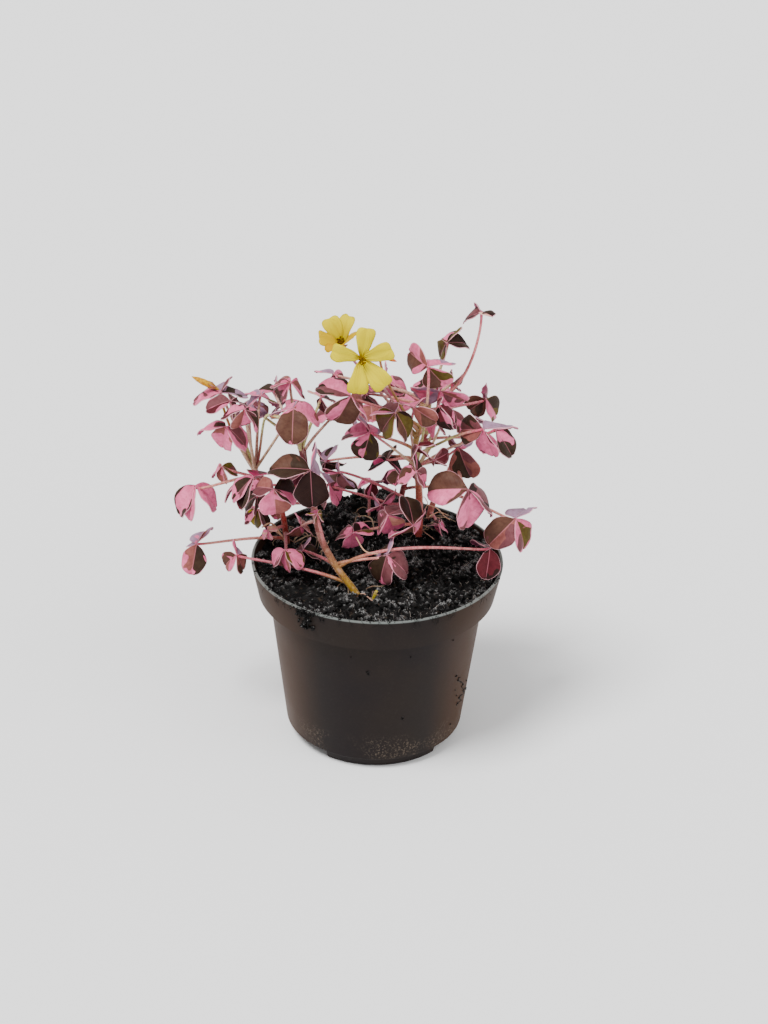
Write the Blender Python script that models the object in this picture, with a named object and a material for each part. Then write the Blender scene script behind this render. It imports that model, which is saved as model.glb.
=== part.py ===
"""Purple shamrock in a round plastic nursery pot, at real size.

Lengths are written in millimetres and become metres when a mesh is made. The pot stands on
its base at the origin, +Z is up, and the front of the plant faces -Y.
"""
import math
import random
from collections import namedtuple

import bmesh
import bpy
from mathutils import Vector, noise

MM = 0.001
GAP = 0.3  # clearance between two pieces that touch

# Pot
POT_HEIGHT = 81.0
RIM_RADIUS = 52.5
RIM_ROUND = 0.6
COLLAR_BOTTOM_RADIUS = 49.5
COLLAR_BOTTOM = 66.5
BODY_TOP_RADIUS = 45.0
BODY_TOP = 65.5
BODY_BOTTOM_RADIUS = 37.5
FOOT_HEIGHT = 5.0
FOOT_TOP_RADIUS = 36.2
FOOT_RADIUS = 34.5
WALL = 1.2
POT_SIDES = 40
NOTCH_ANGLES = (-53.0, 67.0, 187.0)  # degrees from the front towards +X
NOTCH_WIDTH = 40.0
NOTCH_INNER_RADIUS = 27.0
DRAIN_RADIUS = 2.6
DRAIN_DISTANCE = 31.5

# Soil
SOIL_EDGE = 76.5
SOIL_RINGS = 5
SOIL_SIDES = 26
SOIL_ROUGHNESS = 1.1
SOIL_SEED = 4.0
MOUNDS = ((0, 36, 13.0, 15.0), (28, 22, 5.0, 13.0), (-27, 22, 4.5, 12.0), (-4, -30, 2.0, 14.0))

# Stems
STEM_SIDES = 7
CROWN = 0.985
UNION_SOLVER = "MANIFOLD"

# Where the plant was measured: an upright plane through the pot's axis, from this eye point
EYE_ACROSS = 2.35
EYE_BACK = 790.0
EYE_UP = 533.0

# Leaves
BLADE = 0.66
HUB = 0.10
PETIOLE_RADIUS = 0.6
PETIOLE_TIP_RADIUS = 0.4
PETIOLE_STEPS = 3
PETIOLE_SIDES = 3
BROAD_LEAFLET = ((0.20, 0.16), (0.48, 0.33), (0.80, 0.34), (0.97, 0.15))
MIDDLE_LEAFLET = ((0.28, 0.21), (0.66, 0.36), (0.95, 0.20))
SMALL_LEAFLET = ((0.42, 0.30), (0.88, 0.28))
NOTCH = 0.96
FULLY_OPEN = 9
SPINE = 0.55
BROAD_FROM = 13.0
SMALL_BELOW = 9.0
RIB_FOLD = 0.22
ARCH = 0.12
UP_TO_VIEWER = Vector((0, -0.45, 0.9)).normalized()
USUAL_DROOP = math.sin(math.radians(35))

# Petals
PETAL = ((0.30, 0.08), (0.62, 0.20), (0.90, 0.27), (1.00, 0.14))
PETAL_NOTCH = 0.98
PETAL_HUB = 0.10
PETAL_FOLD = 0.08

# Flower stalks
STALK_RADIUS = 0.6
CUP_RADIUS = 0.9
SEAT_GAP = 0.45
BUD_SHAPE = ((0.0, 0.45), (0.25, 1.0), (0.6, 0.95), (0.88, 0.55), (1.0, 0.15))

Leaf = namedtuple("Leaf", "stem at hub size tip_a tip_b tip_c open bend", defaults=(None,))
Hidden = namedtuple("Hidden", "stem at hub size azimuth")
Stem = namedtuple("Stem", "route radius tip_radius")
Bloom = namedtuple("Bloom", "hub petals stem at bend")
Bud = namedtuple("Bud", "foot point radius stem at bend")

# Each stem runs through hand-set points from its foot in the soil to its crown
STEMS = {
    "left": Stem(((-38, 17, 64), (-38, 14, 76), (-39, 10, 90), (-41, 6, 102), (-46, 3, 113),
                  (-51, 0, 121)), 1.4, 1.0),
    "front": Stem(((-4.8, -26, 64), (-6.8, -26, 76), (-16.4, -21, 88), (-23, -15, 98),
                   (-26, -11, 110), (-29, -8, 122), (-32, -4, 134)), 1.6, 1.1),
    "right": Stem(((16, 19, 66), (17, 18, 78), (17, 15, 98), (16, 11, 114), (14, 8, 127),
                   (17, 6, 142), (20, 6, 152)), 1.9, 1.1),
    "far_right": Stem(((21, 32, 68), (21, 31, 78), (23, 28, 92), (27, 24, 104), (31, 18, 118),
                       (34, 14, 128)), 1.5, 1.0),
    "back_left": Stem(((-27, 30, 66), (-27, 30, 80), (-29, 31, 94), (-31, 31, 106),
                       (-32, 30, 116)), 1.4, 1.0),
    "back_right": Stem(((9, 39, 70), (9, 40, 84), (12, 42, 98), (16, 42, 110),
                        (20, 40, 120)), 1.5, 1.0),
    "shoot": Stem(((-4, 25, 74), (-4, 25, 88), (-4, 23, 98)), 0.7, 0.5),
    "sprout": Stem(((-1, -29, 68), (-1, -30, 78), (0, -31, 83)), 1.5, 0.6),
}

# Stem, place along it, hub (across, up, depth), leaflet length, each leaflet's tip as seen from
# the hub (across, up), with its depth too where it doesn't follow from the length, how open each
# leaflet looks from the front, from 0 when edge-on to 9, and a point that bends the petiole
LEAVES = [Leaf(*row) for row in (
    ("left", 1.00, (-64, 155, -4), 12.5, (-11.5, -3.5), (1.5, 6), (10.5, 0), "353"),
    ("left", 1.00, (-60, 151.5, -12), 11, (-10.5, -3.5), (5, 0), (2, -6), "645"),
    ("left", 1.00, (-48, 154, 8), 11.5, (-6, -4), (-6, 2), (6, -2.5), "443"),
    ("left", 1.00, (-54.5, 148, -25), 12, (-9.5, -3), (-1.5, -9), (6.5, -8.5), "384"),
    ("left", 1.00, (-62, 140, -12), 13, (-11.5, -1), (-2.5, -11), (9.5, -9), "386"),
    ("left", 0.86, (-64, 122, 6), 8, (-4, -4), (0.5, -8.5), (7, -3), "356"),
    ("left", 0.92, (-75, 113, -5), 15, (-8.5, -13.5), (-4, -16.5), (9.5, -10), "545"),
    ("left", 0.30, (-75, 85.5, 2), 13, (4, 8), (-2.5, -15), (1, 3.5), "594"),
    ("front", 0.25, (-58.5, 80.5, -8), 10, (-6, -5.5), (3.5, -7.5), (0.5, 5.5), "876"),
    ("left", 0.92, (-51, 117.5, -16), 14, (-10, -10.5), (-6.5, -15), (6.5, 3), "434"),
    ("left", 0.80, (-43, 112, -26), 14, (-8.5, 1.5, 6), (1, -13.5), (10.5, -2), "898"),
    ("left", 0.70, (-50, 108.5, -6), 11, (-6, -4.5), (1, -7), (3.5, 4.5), "765"),
    ("left", 0.55, (-49.5, 102.5, 10), 10, (-2.5, -8.5), (-6.5, -5.5), (5, -9), "764"),
    ("left", 0.36, (-38.5, 83.5, -16), 10, (-6, -7), (1, -11), (8, -7.5), "546"),
    ("left", 0.42, (-45.5, 92.5, -3), 5, (-2.5, -3.5), (1, -4.5), (3.5, 1.5), "666"),
    ("front", 1.00, (-36, 160.5, -2), 11, (-7.5, -1), (-5.5, -7), (6, -5.5), "465"),
    ("front", 1.00, (-35, 149, -14), 14.5, (-7, -1.5), (11.5, -5), (-0.5, -15.5), "369"),
    ("front", 1.00, (-43, 156, 20), 10, (-6.5, 1.5), (4.5, -5.5), (2, 5), "654"),
    ("front", 0.80, (-28, 121, -30), 17.5, (-17.5, 2), (1, -18), (4, 7), "696"),
    ("front", 1.00, (-24, 154, 2), 8.5, (2, -7.5), (5, -0.5), (-3.5, 3), "544"),
    ("front", 0.46, (-25, 101, -22), 6, (-4, 0.5), (2.5, -2), (-0.5, -4), "555"),
    ("front", 0.36, (-31, 83.5, -4), 10, (8, -2), (-4.5, -3), (1, 4.5), "655"),
    ("front", 0.60, (-31.5, 95, 4), 8.5, (-5, -6), (4, -2), (-1.5, 5.5), "544"),
    ("front", 0.37, (4, 82, -22), 13.5, (-3.5, -14), (10, -8.5), (0, 7.5), "876"),
    ("front", 0.35, (46.5, 86.5, -15), 12.5, (-0.5, -15), (-5.5, 3), (4, 2), "823",
     (3, 92, -20)),
    ("right", 0.30, (-20.5, 115, 10), 12, (5.5, -8.5), (-3.5, -11), (-2.5, 6.5), "734"),
    ("right", 0.85, (-12, 155, -16), 15.5, (-6, -13.5), (7, -7.5), (-13.5, 6), "846"),
    ("right", 1.00, (-19, 164.5, 6), 9, (-7, 1.5), (5, -3.5), (-2, -6.5), "355"),
    ("right", 0.72, (-4, 139, -8), 14, (-11.5, 0), (-1.5, 6), (-3, -13.5), "559"),
    ("right", 0.82, (6, 148, -20), 14, (-8.5, 2), (-7, -9.5), (7, -11.5), "576"),
    ("right", 0.66, (3, 126.5, 6), 10, (-8, -3.5), (7, -4.5), (1.5, 6.5), "556"),
    ("right", 0.95, (-6, 156, 4), 11, (7, 3.5), (4.5, -6), (-4, 4), "554"),
    ("right", 0.95, (2.5, 162, 13.5), 11.5, (9, -3), (4, -7.5), (-1.5, 5.5), "573"),
    ("right", 0.90, (13.5, 150.5, -14), 10, (9, -7), (-3.5, 2), (2.5, 4.5), "744"),
    ("right", 1.00, (18.5, 168.5, -17), 14.5, (-9, 6.5), (9, 3), (7.5, -9.5), "838"),
    ("right", 1.00, (25.5, 179, -1), 11.5, (4, 7), (9, 1), (-3.5, -7), "466"),
    ("right", 1.00, (38.5, 192.5, 10), 11.5, (-7, -3, 5), (4.5, -1, -6), (-1.5, 2.5, 8), "432",
     (36, 156, 4)),
    ("right", 0.97, (23.5, 158, -4), 13.5, (-11.5, -2.5), (10.5, -5.5), (-1, 5, 3), "664"),
    ("right", 1.00, (28.5, 161.5, 8), 7.5, (5, 3), (-2, 5), (1.5, -3), "555"),
    ("right", 0.92, (23.5, 151.5, -16), 11, (7, -7), (4, -11.5), (0.5, 4, 3), "554"),
    ("right", 0.90, (42, 155, 20), 12, (-7.5, -6), (5.5, -7.5), (0.5, 3), "972"),
    ("right", 0.72, (15.5, 133, -20), 7.5, (7, 2), (-3, -4.5), (3, -4.5), "454"),
    ("right", 0.60, (22, 127, -12), 8, (3.5, -2.5), (-3, 1.5), (6.5, 3.5), "448"),
    ("right", 0.50, (15, 121.5, -24), 10, (-8, -3.5), (5, -5), (1, 7), "776"),
    ("right", 0.80, (22.5, 144, -6), 8, (-3, -5.5), (4, -3.5), (0.5, 4.5), "654"),
    ("right", 0.30, (14.5, 96.5, -18), 14, (-2.5, 15), (4.5, 4), (-8, -6), "743"),
    ("right", 0.34, (4, 101, -9), 12, (-5, -6), (3.5, -8.5), (6.5, 4.5), "696"),
    ("right", 0.36, (1, 105.5, 6), 10, (7, 6.5), (-3, -3), (-4, 3.5), "455"),
    ("right", 0.25, (-10, 92.5, -8), 10.5, (-7.5, -1), (-1, -8), (7.5, 3), "687"),
    ("right", 0.66, (-22, 125, 20), 12, (3, 8), (6.5, -3), (-3.5, 3), "554"),
    ("right", 0.36, (-16, 120.5, -5), 11.5, (6, -9), (-5.5, -2.5), (-1.5, 5, 3), "574"),
    ("far_right", 1.00, (41.5, 141.5, -13), 14, (-10.5, -0.5), (4, -13), (10.5, 3), "954"),
    ("far_right", 1.00, (46.5, 141.5, 2), 13.5, (8, -11.5), (6, 2), (-6.5, 4.5), "632"),
    ("far_right", 1.00, (32, 133, 2), 16, (5, -15), (-5, 4.5, 3), (6, 4.5, 3), "844"),
    ("far_right", 0.80, (36.5, 114, -22), 17.5, (-17.5, 0), (1.5, -19), (11, -9), "873"),
    ("far_right", 0.50, (56.5, 101, -12), 15.5, (-10.5, -13), (6, -15), (4, 6), "966"),
    ("far_right", 0.30, (25, 97, 12), 7.5, (-3.5, 1.5), (3.5, -1.5), (0, -4), "665"),
    ("shoot", 1.00, (-3, 116.5, 22), 8, (-6, -1.5), (-0.5, -8), (3, 0.5), "472"),
)]

# Leaves on the far side, which spread evenly and face outwards
HIDDEN_RISE = 62.0
HIDDEN_DROOP = 34.0
HIDDEN_SEED = 5
HIDDEN_LEAVES = [Hidden(*row) for row in (
    ("back_left", 1.00, (-53, 152, 26), 11.5, -150),
    ("back_left", 1.00, (-36, 153, 30), 11.5, 175),
    ("back_left", 1.00, (-17, 150, 30), 11.5, 150),
    ("back_left", 0.80, (-32, 122, 38), 11.5, 180),
    ("back_left", 0.60, (-57, 116, 28), 11.5, -130),
    ("back_left", 0.45, (-47, 106, 36), 11.5, -150),
    ("back_right", 1.00, (-4, 152, 34), 11.5, -170),
    ("back_right", 1.00, (10, 157, 36), 11.5, 175),
    ("back_right", 1.00, (21, 164, 30), 11.5, 160),
    ("back_right", 1.00, (29, 150, 41), 11.5, 150),
    ("back_right", 0.90, (43, 140, 30), 11.5, 130),
    ("back_right", 0.60, (9, 123, 45), 11.5, 180),
    ("back_right", 0.42, (33, 117, 38), 11.5, 140),
)]

# The front bloom faces the viewer, and the back one opens up to the left
BLOOMS = {
    "bloom_front": Bloom((-8, 171.5, -22), ((2, 13, -1), (12, 4, -4), (10, -12.5, -4),
                                            (-1.5, -16, -5), (-11.5, 2.5, -3)),
                         "right", 0.78, (5, 154, -6)),
    "bloom_back": Bloom((-15.5, 177, -8), ((-5.5, 11.5, 1), (1.5, 12.5, 1), (3.5, 4, -9),
                                           (-4, -0.5, -11), (-9.5, 3.5, -5)),
                        "right", 0.80, (-1, 158, 2)),
}
BUDS = {
    "bud_left": Bud((-66.2, 157.3, -1), (-75.3, 161.8, -4), 1.3, "left", 1.00, (-66, 146, -1)),
    "bud_cream": Bud((-44.5, 145.5, 5), (-36.5, 144, 3), 0.9, "left", 1.00, (-47, 136, 3)),
    "bud_right": Bud((1, 172.5, -12), (6, 170.5, -16), 0.8, "right", 0.82, (-1, 164, -9)),
}


def seen(across, up, depth):
    """Slide a point of the measuring plane along its line of sight to a depth behind it."""
    reach = 1 + depth / EYE_BACK
    return Vector((EYE_ACROSS + (across - EYE_ACROSS) * reach, depth, EYE_UP + (up - EYE_UP) * reach))


def clear_scene():
    for item in list(bpy.data.objects):
        bpy.data.objects.remove(item)


def material(name, colour, roughness):
    made = bpy.data.materials.new(name)
    made.use_nodes = True
    shader = made.node_tree.nodes["Principled BSDF"]
    shader.inputs["Base Color"].default_value = (*colour, 1)
    shader.inputs["Roughness"].default_value = roughness
    shader.inputs["Metallic"].default_value = 0
    made.diffuse_color = (*colour, 1)
    return made


def add_object(name, points, faces, finish=None):
    """Make a mesh object from points in millimetres."""
    mesh = bpy.data.meshes.new(name)
    mesh.from_pydata([Vector(p) * MM for p in points], [], faces)
    mesh.update()
    made = bpy.data.objects.new(name, mesh)
    bpy.context.scene.collection.objects.link(made)
    if finish:
        mesh.materials.append(finish)
    return made


def smooth_route(points, step):
    """Points about one step apart on a Catmull-Rom curve through the given points."""
    route = [Vector(p) for p in points]
    route = [route[0] * 2 - route[1]] + route + [route[-1] * 2 - route[-2]]
    out = []
    for i in range(1, len(route) - 2):
        a, b, c, d = route[i - 1:i + 3]
        count = max(1, round((c - b).length / step))
        for j in range(count):
            t = j / count
            out.append(0.5 * ((2 * b) + (c - a) * t + (2 * a - 5 * b + 4 * c - d) * t * t
                              + (3 * b - a - 3 * c + d) * t ** 3))
    out.append(route[-2])
    return out


def tube(path, radii, sides):
    """A closed tube with flat ends along a path; returns its points and faces."""
    points, faces = [], []
    side = None
    for i, centre in enumerate(path):
        ahead = path[min(i + 1, len(path) - 1)] - path[max(i - 1, 0)]
        ahead.normalize()
        if side is None:
            side = ahead.orthogonal().normalized()
        side = (side - ahead * side.dot(ahead)).normalized()
        up = ahead.cross(side)
        for k in range(sides):
            turn = 2 * math.pi * k / sides
            points.append(centre + (side * math.cos(turn) + up * math.sin(turn)) * radii[i])
    for i in range(len(path) - 1):
        for k in range(sides):
            a, b = i * sides + k, i * sides + (k + 1) % sides
            faces.append((a, b, b + sides, a + sides))
    faces.append(tuple(reversed(range(sides))))
    faces.append(tuple(range(len(points) - sides, len(points))))
    return points, faces


def turned(profile, sides):
    """A closed solid turned round Z from a profile whose ends lie on the axis."""
    points = [Vector((0, 0, profile[0][1]))]
    for radius, height in profile[1:-1]:
        for k in range(sides):
            turn = 2 * math.pi * k / sides
            points.append(Vector((radius * math.cos(turn), radius * math.sin(turn), height)))
    points.append(Vector((0, 0, profile[-1][1])))
    top = len(points) - 1
    rings = len(profile) - 2
    faces = []
    for k in range(sides):
        ahead = (k + 1) % sides
        faces.append((0, 1 + ahead, 1 + k))
        for ring in range(rings - 1):
            a, b = 1 + ring * sides, 1 + (ring + 1) * sides
            faces.append((a + k, a + ahead, b + ahead, b + k))
        last = 1 + (rings - 1) * sides
        faces.append((last + k, last + ahead, top))
    return points, faces


def combine(base, others, operation, solver="EXACT"):
    """Apply one Boolean with a collection of closed solids, which are then removed."""
    group = bpy.data.collections.new("operands")
    bpy.context.scene.collection.children.link(group)
    for other in others:
        group.objects.link(other)
        bpy.context.scene.collection.objects.unlink(other)
    step = base.modifiers.new(operation, "BOOLEAN")
    step.operation = operation
    step.operand_type = "COLLECTION"
    step.collection = group
    step.solver = solver
    bpy.context.view_layer.objects.active = base
    bpy.ops.object.modifier_apply(modifier=step.name)
    for other in others:
        bpy.data.objects.remove(other)
    bpy.data.collections.remove(group)
    return base


def rib_to(hub, tip, size):
    """The rib from a hub to a tip given as seen from it.

    Where the tip has no depth, the rib has the leaflet's length, and of the two tips with
    that length it takes the one that droops most like a leaflet of a leaf facing up.
    """
    start = seen(*hub)
    if len(tip) == 3:
        return seen(hub[0] + tip[0], hub[1] + tip[1], hub[2] + tip[2]) - start
    flat = seen(hub[0] + tip[0], hub[1] + tip[1], hub[2]) - start
    sight = seen(hub[0], hub[1], hub[2] + 1) - start
    a, b, c = sight.dot(sight), 2 * sight.dot(flat), flat.dot(flat) - size * size
    root = math.sqrt(max(0, b * b - 4 * a * c))
    choices = [flat + sight * (-b + sign * root) / (2 * a) for sign in (-1, 1)]
    return min(choices, key=lambda rib: abs(rib.normalized().dot(UP_TO_VIEWER) + USUAL_DROOP))


def leaf_ribs(leaf):
    return [rib_to(leaf.hub, tip, leaf.size) for tip in (leaf.tip_a, leaf.tip_b, leaf.tip_c)]


def lobe_facing(hub, rib, out, openness):
    """The way a leaflet's upper side faces, turned about its rib to look this open from the front."""
    ahead = rib.normalized()
    deep = Vector((EYE_ACROSS, -EYE_BACK, EYE_UP)) - hub
    deep = (deep - ahead * deep.dot(ahead)).normalized()
    flat = ahead.cross(deep)
    slant = math.sqrt(1 - openness * openness)
    choices = [deep * openness * a + flat * slant * b for a in (-1, 1) for b in (-1, 1)]
    return max(choices, key=out.dot)


def hidden_ribs(leaf, number):
    """Three even ribs that droop from a leaf facing outwards."""
    draw = random.Random(HIDDEN_SEED + number)
    turn, lift = math.radians(leaf.azimuth), math.radians(HIDDEN_RISE)
    out = Vector((math.sin(turn) * math.cos(lift), -math.cos(turn) * math.cos(lift), math.sin(lift)))
    down = Vector((math.sin(turn) * math.sin(lift), -math.cos(turn) * math.sin(lift), -math.cos(lift)))
    right = out.cross(down)
    spin = draw.uniform(0, 2 * math.pi / 3)
    ribs = []
    for k in range(3):
        angle = spin + 2 * math.pi * k / 3
        fall = math.radians(HIDDEN_DROOP + draw.uniform(-8, 8))
        flat = down * math.cos(angle) + right * math.sin(angle)
        ribs.append((flat * math.cos(fall) - out * math.sin(fall)) * leaf.size)
    return ribs


def face_of(ribs, cupped=False):
    """The direction that the upper side of a drooping leaf, or of a cupped bloom, faces."""
    area, mean = Vector(), Vector()
    for rib, after in zip(ribs, ribs[1:] + ribs[:1]):
        area += rib.cross(after) / (rib.length * after.length)
        mean += rib.normalized()
    area /= len(ribs) * math.sin(2 * math.pi / len(ribs))
    if area.dot(UP_TO_VIEWER) < 0:
        area.negate()
    mean /= len(ribs) * (1 if cupped else -1)
    return (area + mean).normalized()


def lobed_sheet(hub, ribs, facings, out, outline, notch, root, fold, arch):
    """One open sheet with a lobe on each rib: its points and its triangles.

    Each lobe faces its own way, is folded along its rib and arched down, and shares its root
    corners with its neighbours.
    """
    first = (ribs[0] - out * ribs[0].dot(out)).normalized()
    second = out.cross(first)
    full = 2 * math.pi
    lobes = sorted((math.atan2(rib.dot(second), rib.dot(first)) % full, rib.length, rib, facing)
                   for rib, facing in zip(ribs, facings))
    points, faces = [], []
    corners, roots = [], []
    for i, (turn, length, rib, _) in enumerate(lobes):
        roots.append(len(points))
        points.append(hub + rib.normalized() * length * root)
        next_turn, next_length, next_rib, _ = lobes[(i + 1) % len(lobes)]
        middle = turn + ((next_turn - turn) % full) / 2
        level = first * math.cos(middle) + second * math.sin(middle)
        fall = (rib.normalized() + next_rib.normalized()).dot(out) / 2
        reach = root * (length + next_length) / 2
        corners.append(len(points))
        points.append(hub + (level * math.sqrt(1 - fall * fall) + out * fall) * reach)
    faces += [(roots[0], roots[i], roots[i + 1]) for i in range(1, len(roots) - 1)]
    faces += [(roots[i - 1], corners[i - 1], roots[i]) for i in range(len(roots))]
    for i, (_, length, rib, facing) in enumerate(lobes):
        ahead = rib.normalized()
        side = facing.cross(ahead).normalized()
        normal = ahead.cross(side)

        def place(along, across):
            lift = fold * abs(across) - arch * along * along
            return hub + (ahead * along + side * across + normal * lift) * length

        spine = len(points)
        points.append(place(SPINE, 0))
        points.append(place(notch, 0))
        for sign, corner in ((1, corners[i]), (-1, corners[i - 1])):
            edge = [corner]
            for along, across in outline:
                edge.append(len(points))
                points.append(place(along, sign * across))
            edge.append(spine + 1)
            half = [(roots[i], edge[0], edge[1]), (roots[i], edge[1], spine)]
            half += [(spine, a, b) for a, b in zip(edge[1:], edge[2:])]
            faces += [face if sign < 0 else face[::-1] for face in half]
    return points, faces


def thickened(points, faces, thickness):
    """Close a sheet into a thin solid with the same triangles on both faces."""
    normals = [Vector() for _ in points]
    edges = {}
    for face in faces:
        a, b, c = (points[i] for i in face)
        normal = (b - a).cross(c - a)
        normal.normalize()
        for k, i in enumerate(face):
            before, after = points[face[k - 1]], points[face[(k + 1) % 3]]
            normals[i] += normal * (before - points[i]).angle(after - points[i])
            edges[(i, face[(k + 1) % 3])] = True
    half = thickness / 2
    count = len(points)
    solid = [p + n.normalized() * half for p, n in zip(points, normals)]
    solid += [p - n.normalized() * half for p, n in zip(points, normals)]
    closed = list(faces) + [tuple(i + count for i in reversed(face)) for face in faces]
    for a, b in edges:
        if (b, a) not in edges:
            closed.append((b, a, a + count))
            closed.append((b, a + count, b + count))
    return solid, closed


def all_leaves():
    """Every leaf's stem, place along it, hub, leaflet length, ribs, their facings and its bend."""
    leaves = []
    for leaf in LEAVES:
        hub, ribs = seen(*leaf.hub), leaf_ribs(leaf)
        out = face_of(ribs)
        facings = [lobe_facing(hub, rib, out, int(digit) / FULLY_OPEN)
                   for rib, digit in zip(ribs, leaf.open)]
        bend = seen(*leaf.bend) if leaf.bend else None
        leaves.append((leaf.stem, leaf.at, hub, leaf.size, ribs, facings, bend))
    for number, leaf in enumerate(HIDDEN_LEAVES):
        ribs = hidden_ribs(leaf, number)
        leaves.append((leaf.stem, leaf.at, seen(*leaf.hub), leaf.size, ribs,
                       [face_of(ribs)] * len(ribs), None))
    return leaves


def leaf_sheet(hub, size, ribs, facings):
    outline = BROAD_LEAFLET if size >= BROAD_FROM else MIDDLE_LEAFLET
    if size < SMALL_BELOW:
        outline = SMALL_LEAFLET
    return lobed_sheet(hub, ribs, facings, face_of(ribs), outline, NOTCH, HUB, RIB_FOLD, ARCH)


def stalk_path(start, end, out, steps, bend=None):
    """A stalk that rises a little as it leaves and meets its end from behind."""
    span = (end - start).length
    lead = bend or start.lerp(end, 0.35) + Vector((0, 0, 0.08 * span))
    back = end - out * min(0.15 * span, 4.5)
    path = []
    for i in range(steps + 1):
        t = i / steps
        path.append(start * (1 - t) ** 3 + lead * 3 * t * (1 - t) ** 2 + back * 3 * t * t * (1 - t)
                    + end * t ** 3)
    return path


def stem_path(stem):
    return smooth_route(stem.route, 8.0)


def along_path(path, part):
    """The point that lies this part of the way along a path."""
    lengths = [(b - a).length for a, b in zip(path, path[1:])]
    left = part * sum(lengths)
    for a, b, length in zip(path, path[1:], lengths):
        if left <= length:
            return a.lerp(b, left / length)
        left -= length
    return path[-1].copy()


def root_middle(hub, ribs, root):
    """The middle of the small face that joins the lobes round a hub."""
    return hub + sum(ribs, Vector()) / len(ribs) * root


def petiole(start, end, out, bend):
    route = stalk_path(start, end, out, PETIOLE_STEPS, bend)
    radii = [PETIOLE_RADIUS] * PETIOLE_STEPS + [PETIOLE_TIP_RADIUS]
    return tube(route, radii, PETIOLE_SIDES)


def flower_stalk(start, end, out, bend, end_radius):
    route = stalk_path(start, end, out, PETIOLE_STEPS + 2, seen(*bend))
    radii = [STALK_RADIUS] * (PETIOLE_STEPS + 2) + [end_radius]
    return tube(route, radii, PETIOLE_SIDES + 1)


def bloom_seat(shape):
    """The hub of a bloom, its ribs, its facing and the end of its stalk."""
    hub = seen(*shape.hub)
    ribs = [rib_to(shape.hub, tip, 0) for tip in shape.petals]
    out = face_of(ribs, cupped=True)
    return hub, ribs, out, root_middle(hub, ribs, PETAL_HUB) - out * (BLADE / 2 + SEAT_GAP)


def stalk_start(name, at, end):
    """A point inside a stem, on the side that its stalk leaves from."""
    stem = STEMS[name]
    centre = along_path(stem_path(stem), min(at, CROWN))
    side = end - centre
    side.z = 0
    return centre + side.normalized() * stem.tip_radius * 0.6


def keep_largest(made):
    """Drop the scraps and sealed hollows that a union leaves."""
    mesh = bmesh.new()
    mesh.from_mesh(made.data)
    left = set(mesh.verts)
    islands = []
    while left:
        island = [left.pop()]
        for vert in island:
            for edge in vert.link_edges:
                other = edge.other_vert(vert)
                if other in left:
                    left.remove(other)
                    island.append(other)
        islands.append(island)
    islands.sort(key=len)
    for island in islands[:-1]:
        bmesh.ops.delete(mesh, geom=island, context="VERTS")
    mesh.to_mesh(made.data)
    mesh.free()
    return made


def leafy_stem(name, finish):
    stem = STEMS[name]
    path = stem_path(stem)
    taper = (stem.tip_radius - stem.radius) / (len(path) - 1)
    radii = [stem.radius + taper * i for i in range(len(path))]
    base = add_object("stem_" + name, *tube(path, radii, STEM_SIDES), finish)
    parts = []
    for owner, at, hub, size, ribs, facings, bend in all_leaves():
        if owner == name:
            start = stalk_start(name, at, hub)
            sheet = leaf_sheet(hub, size, ribs, facings)
            parts.append(add_object("blade", *thickened(*sheet, BLADE)))
            end = root_middle(hub, ribs, HUB)
            parts.append(add_object("petiole", *petiole(start, end, face_of(ribs), bend)))
    for shape in BLOOMS.values():
        if shape.stem == name:
            hub, ribs, out, end = bloom_seat(shape)
            start = stalk_start(name, shape.at, end)
            stalk = flower_stalk(start, end, out, shape.bend, CUP_RADIUS)
            parts.append(add_object("stalk", *stalk))
    for shape in BUDS.values():
        if shape.stem == name:
            foot, point = seen(*shape.foot), seen(*shape.point)
            start = stalk_start(name, shape.at, foot)
            out = (point - foot).normalized()
            stalk = flower_stalk(start, foot - out * SEAT_GAP, out, shape.bend, STALK_RADIUS)
            parts.append(add_object("stalk", *stalk))
    if not parts:
        return base
    return keep_largest(combine(base, parts, "UNION", UNION_SOLVER))


def bloom(name, finish):
    hub, ribs, out, _ = bloom_seat(BLOOMS[name])
    facings = [out] * len(ribs)
    sheet = lobed_sheet(hub, ribs, facings, out, PETAL, PETAL_NOTCH, PETAL_HUB, PETAL_FOLD, 0)
    return add_object(name, *thickened(*sheet, BLADE), finish)


def bud(name, finish):
    shape = BUDS[name]
    foot, point = seen(*shape.foot), seen(*shape.point)
    path = [foot.lerp(point, part) for part, _ in BUD_SHAPE]
    return add_object(name, *tube(path, [width * shape.radius for _, width in BUD_SHAPE], 6), finish)


def outer_profile():
    return [(0, 0), (FOOT_RADIUS, 0), (FOOT_TOP_RADIUS, FOOT_HEIGHT),
            (BODY_BOTTOM_RADIUS, FOOT_HEIGHT), (BODY_TOP_RADIUS, BODY_TOP),
            (BODY_TOP_RADIUS + 1.0, COLLAR_BOTTOM), (COLLAR_BOTTOM_RADIUS, COLLAR_BOTTOM),
            (RIM_RADIUS, POT_HEIGHT - RIM_ROUND), (RIM_RADIUS - RIM_ROUND, POT_HEIGHT),
            (0, POT_HEIGHT)]


def inner_profile(inset, top):
    """The pot's cavity, or with a larger inset the soil that fills it up to a height."""
    flare = (RIM_RADIUS - COLLAR_BOTTOM_RADIUS) / (POT_HEIGHT - COLLAR_BOTTOM)
    top_radius = COLLAR_BOTTOM_RADIUS + flare * (top - COLLAR_BOTTOM) - inset
    return [(0, inset), (FOOT_RADIUS - inset, inset), (FOOT_TOP_RADIUS - inset, FOOT_HEIGHT),
            (BODY_TOP_RADIUS - inset, BODY_TOP + inset),
            (COLLAR_BOTTOM_RADIUS - inset, COLLAR_BOTTOM + inset), (top_radius, top), (0, top)]


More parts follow.
